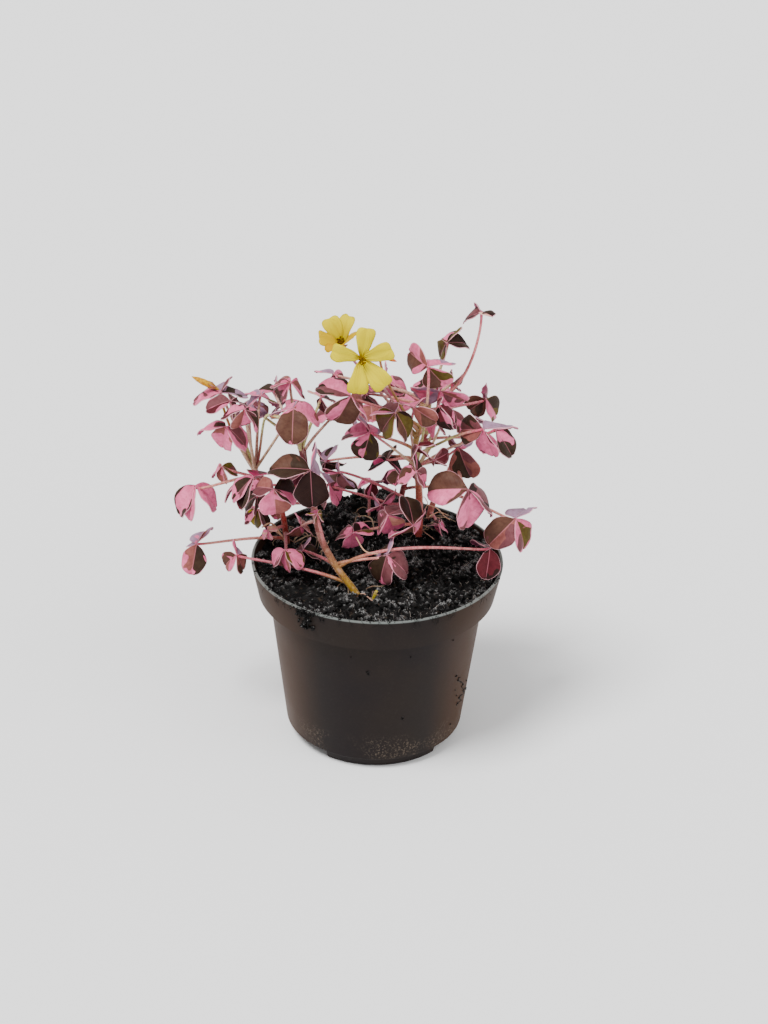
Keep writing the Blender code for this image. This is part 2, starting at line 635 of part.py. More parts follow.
def notch_block(angle, grow):
    """The wedge of a foot notch, grown on every side that the pot's wall covers."""
    half = math.radians(NOTCH_WIDTH / 2)
    inner = NOTCH_INNER_RADIUS - grow
    outer = RIM_RADIUS
    middle = math.radians(angle) - math.pi / 2
    spread = [middle + half * k / 4 for k in range(-4, 5)]
    ring = []
    for turn in spread:
        ring.append(Vector((math.cos(turn), math.sin(turn), 0)) * inner)
    for turn in reversed(spread):
        ring.append(Vector((math.cos(turn), math.sin(turn), 0)) * outer)
    side_a = Vector((math.sin(spread[0]), -math.cos(spread[0]), 0)) * grow
    side_b = Vector((-math.sin(spread[-1]), math.cos(spread[-1]), 0)) * grow
    count = len(spread)
    for i in (0, 2 * count - 1):
        ring[i] = ring[i] + side_a
    for i in (count - 1, count):
        ring[i] = ring[i] + side_b
    low, high = Vector((0, 0, -1)), Vector((0, 0, FOOT_HEIGHT + grow))
    points = [p + low for p in ring] + [p + high for p in ring]
    size = len(ring)
    faces = [tuple(range(size)), tuple(reversed(range(size, 2 * size)))]
    for i in range(size):
        after = (i + 1) % size
        faces.append((i, i + size, after + size, after))
    return points, faces


def drain_hole(angle):
    middle = math.radians(angle) - math.pi / 2
    centre = Vector((math.cos(middle), math.sin(middle), 0)) * DRAIN_DISTANCE
    path = [centre + Vector((0, 0, h)) for h in (FOOT_HEIGHT - 1, FOOT_HEIGHT + WALL + 1)]
    return tube(path, [DRAIN_RADIUS] * 2, 12)


def pot(finish):
    made = add_object("pot", *turned(outer_profile(), POT_SIDES), finish)
    cavity = add_object("cavity", *turned(inner_profile(WALL, POT_HEIGHT + 1), POT_SIDES))
    blocks = [add_object("block", *notch_block(angle, WALL)) for angle in NOTCH_ANGLES]
    combine(cavity, blocks, "DIFFERENCE")
    notches = [add_object("notch", *notch_block(angle, 0)) for angle in NOTCH_ANGLES]
    drains = [add_object("drain", *drain_hole(angle)) for angle in NOTCH_ANGLES]
    return combine(combine(made, [cavity], "DIFFERENCE"), notches + drains, "DIFFERENCE")


def soil_height(x, y):
    """The lumpy surface of the soil, higher behind the stems."""
    height = SOIL_EDGE
    for across, back, rise, spread in MOUNDS:
        height += rise * math.exp(-((x - across) ** 2 + (y - back) ** 2) / (2 * spread ** 2))
    return height + SOIL_ROUGHNESS * noise.noise(Vector((x, y, SOIL_SEED)) / 7.0)


def soil(finish):
    sides = inner_profile(WALL + GAP, SOIL_EDGE)[:-1]
    points, faces = turned(sides + [(0, SOIL_EDGE)], SOIL_SIDES)
    edge_start = len(points) - 1 - SOIL_SIDES
    edge = [points[edge_start + k] for k in range(SOIL_SIDES)]
    points.pop()
    faces = [face for face in faces if len(points) not in face]
    before = edge_start
    for ring in range(1, SOIL_RINGS):
        start = len(points)
        for rim in edge:
            x, y = rim.x * (1 - ring / SOIL_RINGS), rim.y * (1 - ring / SOIL_RINGS)
            points.append(Vector((x, y, soil_height(x, y))))
        for k in range(SOIL_SIDES):
            ahead = (k + 1) % SOIL_SIDES
            quad = (before + k, before + ahead, start + ahead, start + k)
            faces += [(quad[0], quad[1], quad[2]), (quad[0], quad[2], quad[3])]
        before = start
    points.append(Vector((0, 0, soil_height(0, 0))))
    for k in range(SOIL_SIDES):
        faces.append((before + k, before + (k + 1) % SOIL_SIDES, len(points) - 1))
    made = add_object("soil", points, faces, finish)
    cutters = [add_object("block", *notch_block(angle, WALL + GAP)) for angle in NOTCH_ANGLES]
    for stem in STEMS.values():
        path = [p for p in stem_path(stem) if p.z < SOIL_EDGE + 26]
        path[0] = path[0] - (path[1] - path[0]).normalized() * GAP
        cutters.append(add_object("hole", *tube(path, [stem.radius + GAP] * len(path), 8)))
    return combine(made, cutters, "DIFFERENCE")


def build():
    clear_scene()
    plastic = material("pot_plastic", (0.045, 0.034, 0.030), 0.45)
    peat = material("peat", (0.012, 0.010, 0.009), 0.95)
    foliage = material("foliage", (0.20, 0.06, 0.09), 0.55)
    yellow = material("yellow_petal", (0.95, 0.72, 0.06), 0.5)
    pot(plastic)
    soil(peat)
    for name in STEMS:
        leafy_stem(name, foliage)
    for name in BLOOMS:
        bloom(name, yellow)
    for name in BUDS:
        bud(name, yellow)


build()
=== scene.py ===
"""Purple shamrock in a nursery pot: the plant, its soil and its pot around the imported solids.

Lengths are written in millimetres. The pot stands at the origin and the plant faces -Y.
"""
import math
import random
from collections import namedtuple

import bpy
from mathutils import Matrix, Vector, noise


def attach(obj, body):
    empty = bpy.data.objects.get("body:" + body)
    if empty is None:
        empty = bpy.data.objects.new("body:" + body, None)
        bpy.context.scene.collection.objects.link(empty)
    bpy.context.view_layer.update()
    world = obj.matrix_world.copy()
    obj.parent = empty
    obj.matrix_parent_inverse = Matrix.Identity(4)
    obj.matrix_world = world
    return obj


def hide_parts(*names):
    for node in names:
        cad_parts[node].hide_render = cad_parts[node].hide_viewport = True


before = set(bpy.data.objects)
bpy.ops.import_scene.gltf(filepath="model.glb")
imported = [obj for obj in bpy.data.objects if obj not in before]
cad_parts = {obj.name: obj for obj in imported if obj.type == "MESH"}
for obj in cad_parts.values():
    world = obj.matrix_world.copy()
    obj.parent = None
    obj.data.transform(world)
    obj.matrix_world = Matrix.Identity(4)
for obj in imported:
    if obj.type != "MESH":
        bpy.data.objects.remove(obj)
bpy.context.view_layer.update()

MM = 0.001
FULL_TURN = 2 * math.pi

# The eye point, and so the plane through the pot's axis that the plant was measured on
EYE_ACROSS = 2.35
EYE_BACK = 790.0
EYE_UP = 533.0

# Camera
CAMERA_PLACE = (2.35, -790.18, 533.32)
CAMERA_DOWN = 28.6
CAMERA_ROLL = 1.35
LENS = 76.99
SENSOR = 36

# Light: each lamp's place, which gives its direction, its spread in degrees and its strength, and
# the two whites of the paper that the pot stands on
WORLD_LIGHT = 0.75
LAMPS = (("key", (-0.5, -0.45, 1.3), 22, 4.2), ("fill", (1.0, -0.7, 0.9), 50, 1.2))
PAPER = ((0.90, 0.90, 0.90, 1), (0.93, 0.93, 0.93, 1))

# Pot
POT_HEIGHT = 81.0
RIM_RADIUS = 52.5
RIM_ROUND = 0.6
COLLAR_BOTTOM_RADIUS = 49.5
COLLAR_BOTTOM = 66.5
BODY_TOP_RADIUS = 45.0
BODY_TOP = 65.5
BODY_BOTTOM_RADIUS = 37.5
FOOT_HEIGHT = 5.0
FOOT_TOP_RADIUS = 36.2
FOOT_RADIUS = 34.5
WALL = 1.2
POT_STEPS = 144
CORNER_ROUND = 1.0
NOTCH_ANGLES = (-53.0, 67.0, 187.0)
NOTCH_WIDTH = 40.0
NOTCH_INNER_RADIUS = 27.0
NOTCH_STEPS = 12
DRAIN_RADIUS = 2.6
DRAIN_DISTANCE = 31.5

# Soil
SOIL_EDGE = 76.5
SOIL_RADIUS = 50.2
MOUNDS = ((0, 36, 13.0, 15.0), (28, 22, 5.0, 13.0), (-27, 22, 4.5, 12.0), (-4, -30, 2.0, 14.0))
SOIL_GRID = 230
SLOPE = (-31, -24, 8.0)  # middle and spread of the washed patch
SLOPE_SINKS = 1.0
CRUMB_SIZES = ((3.8, 2.3), (1.7, 1.1))  # width of the ridged crumbs, and how high they stand
SWELL_WIDTH = 7.0
SWELL_HEIGHT = 2.4
MEAN_RELIEF = 1.9
SIDE_STEPS = ((0.985, 9.0), (0.905, 0.9), (0.80, 58.0))  # each step's shrink and its drop
CLODS = 1500
FIBRES = 380
RIM_BITS = 90
RIM_FIBRES = 90
CLUMP_ANGLE = -33.0
CLUMP_BITS = 110
CLUMP_DROP = 9.5
LITTER = ((-38, 17, 10), (-6, -26, 4), (16, 19, 8), (21, 32, 6), (-8, 20, 7), (-28, 8, 8))
LITTER_TINTS = (((192, 178, 160), (216, 206, 190)), ((176, 152, 138), (208, 180, 170)),
                ((120, 104, 88), (150, 134, 114)))
LOOSE_TINTS = ((206, 178, 160), (226, 204, 186))

# Bits of peat stuck to the pot's side: their places on the measuring plane, and their sizes
WALL_BITS = ((-2.9, 24.3, 0.75), (-2.7, 23.3, 0.5), (15.3, 32.4, 0.4), (12.3, 0.6, 0.6), (12.5, 1.4, 0.4),
             (32.9, 41.4, 0.4), (33.1, -1.4, 0.45), (-10.3, 31.7, 0.35), (-25.4, 42.0, 0.5),
             (-27.0, 43.4, 0.45), (-30.6, 44.4, 0.4), (34.8, 23.4, 0.6), (36.0, 22.6, 0.4),
             (35.6, 21.4, 0.75), (37.0, 20.4, 0.5), (37.9, 19.4, 0.6), (37.4, 18.0, 0.5),
             (38.9, 17.3, 0.6), (38.0, 16.0, 0.6), (38.6, 14.6, 0.5), (37.2, 13.6, 0.55),
             (36.4, 12.2, 0.7), (37.4, 11.0, 0.4), (35.8, 9.5, 0.5), (39.2, 21.4, 0.5),
             (34.7, 16.2, 0.4), (35.2, 13.4, 0.45), (-2.5, 50.4, 0.35), (-2.2, 47.8, 0.3),
             (-2.0, 45.5, 0.35), (-2.4, 43.0, 0.3), (-2.7, 40.5, 0.3))
# Dark strokes that join some of the bits, and their radius
WALL_STROKES = (((36.9, 23.2), (35.6, 21.4), (37.0, 20.4), (37.9, 19.4), (37.4, 18.0), (38.3, 16.6)),
                ((38.9, 17.3), (38.0, 16.0), (38.6, 14.6), (37.2, 13.6), (36.4, 12.2)),
                ((36.4, 12.2), (37.4, 11.0), (35.8, 9.5), (35.6, 7.8)),
                ((-2.1, 51.0), (-2.2, 47.8), (-2.0, 45.5), (-2.5, 43.0), (-2.7, 40.0)),
                ((-2.9, 24.9), (-2.7, 23.3), (-2.3, 22.0)), ((12.2, 1.9), (12.4, 0.4)))
STROKE_RADIUS = 0.24
# Loose pale stalks over the soil: points on the measuring plane with their depths, and a radius
LOOSE_STALKS = ((((-9.0, 90.4, -14), (-5.2, 83.9, -22), (0.3, 82.6, -24)), 0.3),
                (((-47.8, 94.0, 4), (-44.0, 96.0, 2), (-40.5, 91.5, 4), (-38.4, 88.2, 6)), 0.4),
                (((-46.5, 89.5, 2), (-43.0, 92.5, 4), (-39.5, 90.0, 2)), 0.35),
                (((20.3, 106.3, 8), (24.0, 104.8, 6), (27.5, 101.0, 8), (29.6, 99.5, 8)), 0.25),
                (((21.0, 101.0, 6), (25.0, 103.0, 8), (29.0, 101.5, 6)), 0.22))

# Leaves
HUB = 0.10
LEAF_THICKNESS = 0.3
PETAL_THICKNESS = 0.25
UP_TO_VIEWER = Vector((0, -0.45, 0.9)).normalized()
USUAL_DROOP = math.sin(math.radians(35))
LEAFLET_EDGE = ((0.02, 0.015), (0.06, 0.085), (0.14, 0.20), (0.26, 0.30), (0.40, 0.365), (0.55, 0.385),
                (0.70, 0.37), (0.83, 0.305), (0.93, 0.21), (0.995, 0.10), (0.985, 0.0))
PETAL_EDGE = ((0.02, 0.02), (0.09, 0.065), (0.18, 0.12), (0.30, 0.17), (0.48, 0.22), (0.66, 0.27),
              (0.81, 0.295), (0.92, 0.28), (0.985, 0.20), (0.985, 0.09), (0.965, 0.0))
VEIN_SLANT = 1.6
VEIN_SPREAD = 0.85
FULLY_OPEN = 9
PALE_FROM = 0.96  # leaves that leave a stem higher than this have cream or greenish petioles
LEAF_FORM = {"fold": 0.22, "arch": 0.12, "dome": 0.045, "curl": (-0.05, 0.35), "wave": 0.03,
             "twist": 0.12, "wide": (1.03, 1.18), "uneven": 0.055, "patch": 0.35}
PETAL_FORM = {"fold": 0.08, "arch": 0.0, "dome": 0.02, "curl": (0.1, 0.6), "wave": 0.035,
              "twist": 0.08, "wide": (0.98, 1.06), "uneven": 0.02, "patch": 0.0}
CURL_FROM = 0.7
# Waves and swells along a margin, in radians, and how far its two halves are out of step
WAVES, WAVE_LAG = 9, 1.3
SWELLS, SWELL_LAG = 11, 2.0

# How far the tones are pushed away from grey, the share of them that looks right in the bright
# studio, each part's share in grey, and the least that any surface sends back
TONE_PUSH = 1.65
TONE_GAIN = 0.74
GREY_SHARES = (0.21, 0.72, 0.07)
LEAST_LIGHT = 0.002

# Screen colours of the leaf's tissues; l, a lilac grey, is a painted sheen, the sky's reflection on leaflets
# seen at a slant
TONES = {
    "p": (230, 150, 174), "m": (124, 78, 82), "n": (100, 70, 58), "d": (64, 48, 36),
    "k": (46, 24, 20), "o": (98, 86, 44), "l": (172, 148, 166), "g": (196, 84, 124),
    "r": (96, 34, 42), "b": (156, 104, 98), "c": (238, 208, 196), "y": (164, 156, 62),
}
MIDRIB = (226, 166, 176)
PALE_EDGE = (242, 206, 212)
UNDERSIDE = (150, 74, 104)

# What darkens a leaf: its mottle, its cloudy shade, its root and its side veins
LEAF_MOTTLE = (0.80, 0.72, 0.74, 1)
LEAF_SHADE = (0.66, 0.52, 0.56, 1)
LEAF_ROOT = (0.78, 0.50, 0.60, 1)
LEAF_VEIN = (0.70, 0.60, 0.62, 1)
VEIN_WAVES = 30.0

# Patches: how often they change across and along a leaflet, the noise that the plainest leaflet
# needs for one, how much a leaflet's own share and its margin ease that, the margin's reach, and
# half the width of a patch's blurred border
PATCHES_ACROSS = 1.3
PATCHES_ALONG = 2.3
PATCH_LIMIT = 0.77
PATCH_EASE = 0.46
MARGIN_EASE = 0.13
MARGIN_REACH = (0.3, 4.2)
PATCH_BLUR = 0.006

# Petals and stamens
PETAL_HEART = (0.40, 0.23, 0.0, 1)
PETAL_LINES = (0.10, 0.042, 0.0, 1)
FAINT_LINES = (0.50, 0.34, 0.0, 1)
FRONT_PETALS = ((0.64, 0.52, 0.0, 1),) * 5
BACK_PETALS = ((0.62, 0.50, 0.0, 1), (0.62, 0.50, 0.0, 1), (0.52, 0.31, 0.0, 1), (0.48, 0.26, 0.0, 1),
               (0.54, 0.36, 0.0, 1))
STAMEN_DUST = (0.60, 0.48, 0.30, 1)
STAMENS = 10
STAMEN_HEIGHTS = (2.4, 3.4)
FILAMENT_TINTS = ((170, 146, 40), (196, 174, 50))
ANTHER_TINTS = ((150, 122, 24), (120, 92, 16))
PISTIL_TINTS = ((110, 88, 20), (140, 118, 30))
CALYX_TINTS = ((190, 130, 140), (150, 120, 90))
SEPAL_TINTS = ((170, 120, 110), (190, 150, 120))

# Screen colours of the petioles, near a stem's crown and below it, of the knot at the leaflets, of
# a flower's stalk, of the pale film on stems, and of hairs and fibres
PALE_PETIOLES = ((224, 216, 194), (206, 204, 172), (222, 204, 188), (214, 188, 178))
PINK_PETIOLES = ((212, 150, 152), (196, 124, 134), (216, 168, 162))
KNOT = (214, 104, 132)
FLOWER_STALK = (196, 152, 166)
STALK_FILM = (226, 196, 186)
HAIRS = ((206, 164, 160), (250, 236, 232))
ROOTS = ((84, 78, 74), (166, 158, 152))
STALK_FLECK = (0.72, 0.55, 0.55, 1)

# Radii along a petiole, a fine petiole and a flower's stalk, in even steps
PETIOLE_RADII = (0.78, 0.68, 0.60, 0.54, 0.60)
FINE_RADII = (0.62, 0.56, 0.50)
FLOWER_STALK_RADII = (0.6, 0.55, 0.5, 0.7)
# A stalk's first pull, as a part of its span, how much that lifts it, and its pull at the end
FIRST_PULL = 0.35
PULL_LIFT = 0.08
END_PULL = 0.15
END_PULL_LIMIT = 4.5
# Hairs: radius, length and spacing on stems and stalks, radius, length and number on a leaflet's
# margin for each millimetre of its length, and how the lengths vary
HAIR_RADIUS = 0.05
STEM_HAIR = 0.75
STEM_HAIR_GAP = 0.22
STALK_HAIR = 0.5
STALK_HAIR_GAP = 0.5
MARGIN_HAIR_RADIUS = 0.03
MARGIN_HAIR = 0.45
MARGIN_HAIRS = 2.2
HAIR_RANGE = (0.6, 1.3)

# What peat and pot send back; the peat's crest and glint colours are painted highlights
PEAT_BLACKS = ((0.002, 0.0018, 0.0018, 1), (0.009, 0.008, 0.0075, 1))
PEAT_CREST_HIGHLIGHT = (0.050, 0.047, 0.046, 1)
PEAT_GLINT = (0.25, 0.245, 0.24, 1)
PEAT_BROWN = (0.05, 0.034, 0.022, 1)
POT_BROWNS = ((0.0122, 0.0092, 0.0096, 1), (0.0175, 0.0128, 0.0110, 1))
# Painted warm light on the pot's left and right flanks
POT_FLANK_LIGHT = (0.070, 0.033, 0.016, 1)
POT_DUST = (0.22, 0.19, 0.16, 1)
POT_SPLASH = (0.15, 0.115, 0.085, 1)
# Painted highlight along the pot's rim
POT_RIM_HIGHLIGHT = (0.20, 0.22, 0.21, 1)

Stem = namedtuple("Stem", "route radius tip_radius tints")
Leaf = namedtuple("Leaf", "at hub size tip_a tip_b tip_c open tones bend", defaults=(None,))
Hidden = namedtuple("Hidden", "stem at hub azimuth")
Bloom = namedtuple("Bloom", "hub petals stem at bend")
Bud = namedtuple("Bud", "foot point radius stem at bend tints")

STEMS = {
    # Painted light: tints made lighter to make up for the shade that this stem stands in
    "left": Stem(((-38, 17, 64), (-38, 14, 76), (-39, 10, 90), (-41, 6, 102), (-46, 3, 113),
                  (-51, 0, 121)), 1.4, 1.0, ((178, 112, 100), (186, 88, 82), (168, 84, 90))),
    "front": Stem(((-4.8, -26, 64), (-6.8, -26, 76), (-16.4, -21, 88), (-23, -15, 98),
                   (-26, -11, 110), (-29, -8, 122), (-32, -4, 134)), 1.6, 1.1,
                  ((112, 92, 52), (152, 126, 70), (150, 100, 92), (136, 74, 74), (108, 46, 54))),
    # Painted light: its lower tints made lighter to make up for the shade that they stand in
    "right": Stem(((16, 19, 66), (17, 18, 78), (17, 15, 98), (16, 11, 114), (14, 8, 127),
                   (17, 6, 142), (20, 6, 152)), 1.9, 1.1,
                  ((128, 96, 76), (196, 100, 96), (190, 126, 112), (190, 170, 134), (194, 184, 150))),
    "far_right": Stem(((21, 32, 68), (21, 31, 78), (23, 28, 92), (27, 24, 104), (31, 18, 118),
                       (34, 14, 128)), 1.5, 1.0, ((156, 106, 94), (190, 104, 104), (196, 140, 130))),
    "back_left": Stem(((-27, 30, 66), (-27, 30, 80), (-29, 31, 94), (-31, 31, 106),
                       (-32, 30, 116)), 1.4, 1.0, ((150, 96, 80), (140, 60, 70), (160, 90, 90))),
    "back_right": Stem(((9, 39, 70), (9, 40, 84), (12, 42, 98), (16, 42, 110),
                        (20, 40, 120)), 1.5, 1.0, ((140, 100, 76), (150, 64, 72), (170, 96, 96))),
    "shoot": Stem(((-4, 25, 74), (-4, 25, 88), (-4, 23, 98)), 0.7, 0.5,
                  ((196, 170, 150), (200, 160, 150), (206, 140, 150))),
    "sprout": Stem(((-1, -29, 68), (-1, -30, 78), (0, -31, 83)), 1.5, 0.6,
                   ((120, 90, 50), (168, 156, 70), (184, 176, 96))),
}

# By stem, each leaf's place along it, hub, leaflet length, each leaflet's tip as seen from the
# hub, how open each leaflet looks from the front, from 0 when edge-on to 9, each leaflet's tones,
# which are its half on one side, its half on the other and the patches in both, and a point that
# bends the petiole
LEAVES = {
    "left": (
        (1.00, (-64, 155, -4), 12.5, (-11.5, -3.5), (1.5, 6), (10.5, 0), "353", "ppm mlp ddl"),
        (1.00, (-60, 151.5, -12), 11, (-10.5, -3.5), (5, 0), (2, -6), "645", "mrp kmd mmr"),
        (1.00, (-48, 154, 8), 11.5, (-6, -4), (-6, 2), (6, -2.5), "443", "lpl llp rpo"),
        (1.00, (-54.5, 148, -25), 12, (-9.5, -3), (-1.5, -9), (6.5, -8.5), "384", "ppr bpm mdp"),
        (1.00, (-62, 140, -12), 13, (-11.5, -1), (-2.5, -11), (9.5, -9), "386", "npp ppb mmp"),
        (0.86, (-64, 122, 6), 8, (-4, -4), (0.5, -8.5), (7, -3), "356", "ppb ppb mmo"),
        (0.92, (-75, 113, -5), 15, (-8.5, -13.5), (-4, -16.5), (9.5, -10), "545", "ppd ppp ppp"),
        (0.30, (-75, 85.5, 2), 13, (4, 8), (-2.5, -15), (1, 3.5), "594", "bpl bdp lll"),
        (0.92, (-51, 117.5, -16), 14, (-10, -10.5), (-6.5, -15), (6.5, 3), "434", "dmp kdr ggm"),
        (0.80, (-43, 112, -26), 14, (-8.5, 1.5, 6), (1, -13.5), (10.5, -2), "898", "bmm pbp pkd"),
        (0.70, (-50, 108.5, -6), 11, (-6, -4.5), (1, -7), (3.5, 4.5), "765", "ddk ddm mmd"),
        (0.55, (-49.5, 102.5, 10), 10, (-2.5, -8.5), (-6.5, -5.5), (5, -9), "764", "yoo ppr ndm"),
        (0.36, (-38.5, 83.5, -16), 10, (-6, -7), (1, -11), (8, -7.5), "546", "pmp ppb ppo"),
        (0.42, (-45.5, 92.5, -3), 5, (-2.5, -3.5), (1, -4.5), (3.5, 1.5), "666", "ccp ccp ppc"),
    ),
    "front": (
        (0.25, (-58.5, 80.5, -8), 10, (-6, -5.5), (3.5, -7.5), (0.5, 5.5), "876", "nbp bbn lpl"),
        (1.00, (-36, 160.5, -2), 11, (-7.5, -1), (-5.5, -7), (6, -5.5), "465", "ppb ppm mbp"),
        (1.00, (-35, 149, -14), 14.5, (-7, -1.5), (11.5, -5), (-0.5, -15.5), "369", "ppl ppb nnp"),
        (1.00, (-43, 156, 20), 10, (-6.5, 1.5), (4.5, -5.5), (2, 5), "654", "dpd knm mml"),
        (0.80, (-28, 121, -30), 17.5, (-17.5, 2), (1, -18), (4, 7), "696", "ndd kkk llp"),
        (1.00, (-24, 154, 2), 8.5, (2, -7.5), (5, -0.5), (-3.5, 3), "544", "rrk ddr ccp"),
        (0.46, (-25, 101, -22), 6, (-4, 0.5), (2.5, -2), (-0.5, -4), "555", "yyp yyo oyp"),
        (0.36, (-31, 83.5, -4), 10, (8, -2), (-4.5, -3), (1, 4.5), "655", "ddk ddm mml"),
        (0.60, (-31.5, 95, 4), 8.5, (-5, -6), (4, -2), (-1.5, 5.5), "544", "bbp bbc bmp"),
        (0.37, (4, 82, -22), 13.5, (-3.5, -14), (10, -8.5), (0, 7.5), "876", "dmp pdm ldl"),
        (0.35, (46.5, 86.5, -15), 12.5, (-0.5, -15), (-5.5, 3), (4, 2), "823", "rrk mkm mml",
         (3, 92, -20)),
    ),
    "right": (
        (0.30, (-20.5, 115, 10), 12, (5.5, -8.5), (-3.5, -11), (-2.5, 6.5), "734", "pmp mdm lll"),
        (0.85, (-12, 155, -16), 15.5, (-6, -13.5), (7, -7.5), (-13.5, 6), "846", "pnn mbp pmd"),
        (1.00, (-19, 164.5, 6), 9, (-7, 1.5), (5, -3.5), (-2, -6.5), "355", "lpl mmp mpd"),
        (0.72, (-4, 139, -8), 14, (-11.5, 0), (-1.5, 6), (-3, -13.5), "559", "ppm ppl pod"),
        (0.82, (6, 148, -20), 14, (-8.5, 2), (-7, -9.5), (7, -11.5), "576", "mpl nno nok"),
        (0.66, (3, 126.5, 6), 10, (-8, -3.5), (7, -4.5), (1.5, 6.5), "556", "gkk gkk ddo"),
        (0.95, (-6, 156, 4), 11, (7, 3.5), (4.5, -6), (-4, 4), "554", "ppm ddm ppm"),
        (0.95, (2.5, 162, 13.5), 11.5, (9, -3), (4, -7.5), (-1.5, 5.5), "573", "ppm mnp ppb"),
        (0.90, (13.5, 150.5, -14), 10, (9, -7), (-3.5, 2), (2.5, 4.5), "744", "nbb ppm ppb"),
        (1.00, (18.5, 168.5, -17), 14.5, (-9, 6.5), (9, 3), (7.5, -9.5), "838", "bnp ppl nop"),
        (1.00, (25.5, 179, -1), 11.5, (4, 7), (9, 1), (-3.5, -7), "466", "opo ddk nko"),
        (1.00, (38.5, 192.5, 10), 11.5, (-7, -3, 5), (4.5, -1, -6), (-1.5, 2.5, 8), "432",
         "mmk cdk mmp", (36, 156, 4)),
        (0.97, (23.5, 158, -4), 13.5, (-11.5, -2.5), (10.5, -5.5), (-1, 5, 3), "664", "ppl mbp mlp"),
        (1.00, (28.5, 161.5, 8), 7.5, (5, 3), (-2, 5), (1.5, -3), "555", "onm nnm mmo"),
        (0.92, (23.5, 151.5, -16), 11, (7, -7), (4, -11.5), (0.5, 4, 3), "554", "rrp rpk mmr"),
        (0.90, (42, 155, 20), 12, (-7.5, -6), (5.5, -7.5), (0.5, 3), "972", "ddn pdo ddm"),
        (0.72, (15.5, 133, -20), 7.5, (7, 2), (-3, -4.5), (3, -4.5), "454", "rrk rrm rrk"),
        (0.60, (22, 127, -12), 8, (3.5, -2.5), (-3, 1.5), (6.5, 3.5), "448", "rrb bbr rrm"),
        (0.50, (15, 121.5, -24), 10, (-8, -3.5), (5, -5), (1, 7), "776", "ppn ppm dpd"),
        (0.80, (22.5, 144, -6), 8, (-3, -5.5), (4, -3.5), (0.5, 4.5), "654", "ppm ppm ddp"),
        (0.30, (14.5, 96.5, -18), 14, (-2.5, 15), (4.5, 4), (-8, -6), "743", "dkn ppb bnp"),
        (0.34, (4, 101, -9), 12, (-5, -6), (3.5, -8.5), (6.5, 4.5), "696", "mnp pcp dmm"),
        (0.36, (1, 105.5, 6), 10, (7, 6.5), (-3, -3), (-4, 3.5), "455", "pmm ppb mlp"),
        (0.25, (-10, 92.5, -8), 10.5, (-7.5, -1), (-1, -8), (7.5, 3), "687", "ppm ppp okp"),
        (0.66, (-22, 125, 20), 12, (3, 8), (6.5, -3), (-3.5, 3), "554", "ldl ddl ddm"),
        (0.36, (-16, 120.5, -5), 11.5, (6, -9), (-5.5, -2.5), (-1.5, 5, 3), "574", "mld pnr llm"),
    ),
    "far_right": (
        (1.00, (41.5, 141.5, -13), 14, (-10.5, -0.5), (4, -13), (10.5, 3), "954", "mbd ppr lll"),
        (1.00, (46.5, 141.5, 2), 13.5, (8, -11.5), (6, 2), (-6.5, 4.5), "632", "ppd plp lll"),
        (1.00, (32, 133, 2), 16, (5, -15), (-5, 4.5, 3), (6, 4.5, 3), "844", "dmb mml pml"),
        (0.80, (36.5, 114, -22), 17.5, (-17.5, 0), (1.5, -19), (11, -9), "873", "npn ppm mkm"),
        (0.50, (56.5, 101, -12), 15.5, (-10.5, -13), (6, -15), (4, 6), "966", "nbm mop lll"),
        (0.30, (25, 97, 12), 7.5, (-3.5, 1.5), (3.5, -1.5), (0, -4), "665", "ddm plg mmp"),
    ),
    "shoot": (
        (1.00, (-3, 116.5, 22), 8, (-6, -1.5), (-0.5, -8), (3, 0.5), "472", "grp prr gpr"),
    ),
}

# Fine petioles that fan out of the stems' crowns behind the leaves: points on the measuring plane
# with their depths
FINE_PETIOLES = {
    "left": (((-50.8, 120.6, 0.3), (-55.3, 128.7, -3), (-59.7, 135.8, -7), (-61.6, 139.6, -11)),
             ((-50.8, 120.6, 0.3), (-52.1, 131.9, 0), (-52.8, 143.2, -10), (-54.3, 147.8, -24)),
             ((-50.6, 120.4, 0.3), (-42.4, 134.4, -3), (-39.1, 140.4, -7), (-35.4, 148.6, -13))),
    "right": (((15, 124, 9.5), (12.4, 140.4, 0), (13.4, 150.2, -13)),
              ((15, 124, 9.5), (17.0, 136.0, -6), (18.5, 151.7, -15), (18.9, 163.0, -18), (18.5, 168.2, -17)),
              ((15, 124, 9.5), (18.0, 129.2, 3), (21.6, 142.9, 1), (23.4, 157.6, -3.8)),
              ((15, 124, 9.5), (18.8, 129.2, 6), (24.4, 142.9, 8), (28.4, 161.2, 8)),
              ((14.2, 129, 8.5), (24.3, 134.8, -3), (31.4, 138.6, -8), (41.2, 141.4, -13)),
              ((15, 124, 9.5), (28.4, 132.7, 2), (38.0, 137.0, 1), (46.2, 141.4, 2)),
              ((15, 124, 9.5), (25.0, 127.6, 6), (31.8, 132.8, 2.2)),
              ((15, 124, 9.5), (6.2, 131.2, -5), (-3.7, 138.8, -8))),
}
FINE_SEED = 400

# Leaves at the back: how far a leaf's face is raised from level, how far its leaflets droop,
# and their length; then each one's stem, place along it, hub and the way that it faces,
# in degrees from the front towards +X
HIDDEN_RISE = 62.0
HIDDEN_DROOP = 34.0
HIDDEN_SEED = 5
HIDDEN_SIZE = 11.5
HIDDEN_LEAVES = [Hidden(*row) for row in (
    ("back_left", 1.00, (-53, 152, 26), -150),
    ("back_left", 1.00, (-36, 153, 30), 175),
    ("back_left", 1.00, (-17, 150, 30), 150),
    ("back_left", 0.80, (-32, 122, 38), 180),
    ("back_left", 0.60, (-57, 116, 28), -130),
    ("back_left", 0.45, (-47, 106, 36), -150),
    ("back_right", 1.00, (-4, 152, 34), -170),
    ("back_right", 1.00, (10, 157, 36), 175),
    ("back_right", 1.00, (21, 164, 30), 160),
    ("back_right", 1.00, (29, 150, 41), 150),
    ("back_right", 0.90, (43, 140, 30), 130),
    ("back_right", 0.60, (9, 123, 45), 180),
    ("back_right", 0.42, (33, 117, 38), 140),
)]
HIDDEN_TONES = ("ppm", "mbp", "dpp", "nmp", "ddm", "mml", "bbp", "odm")

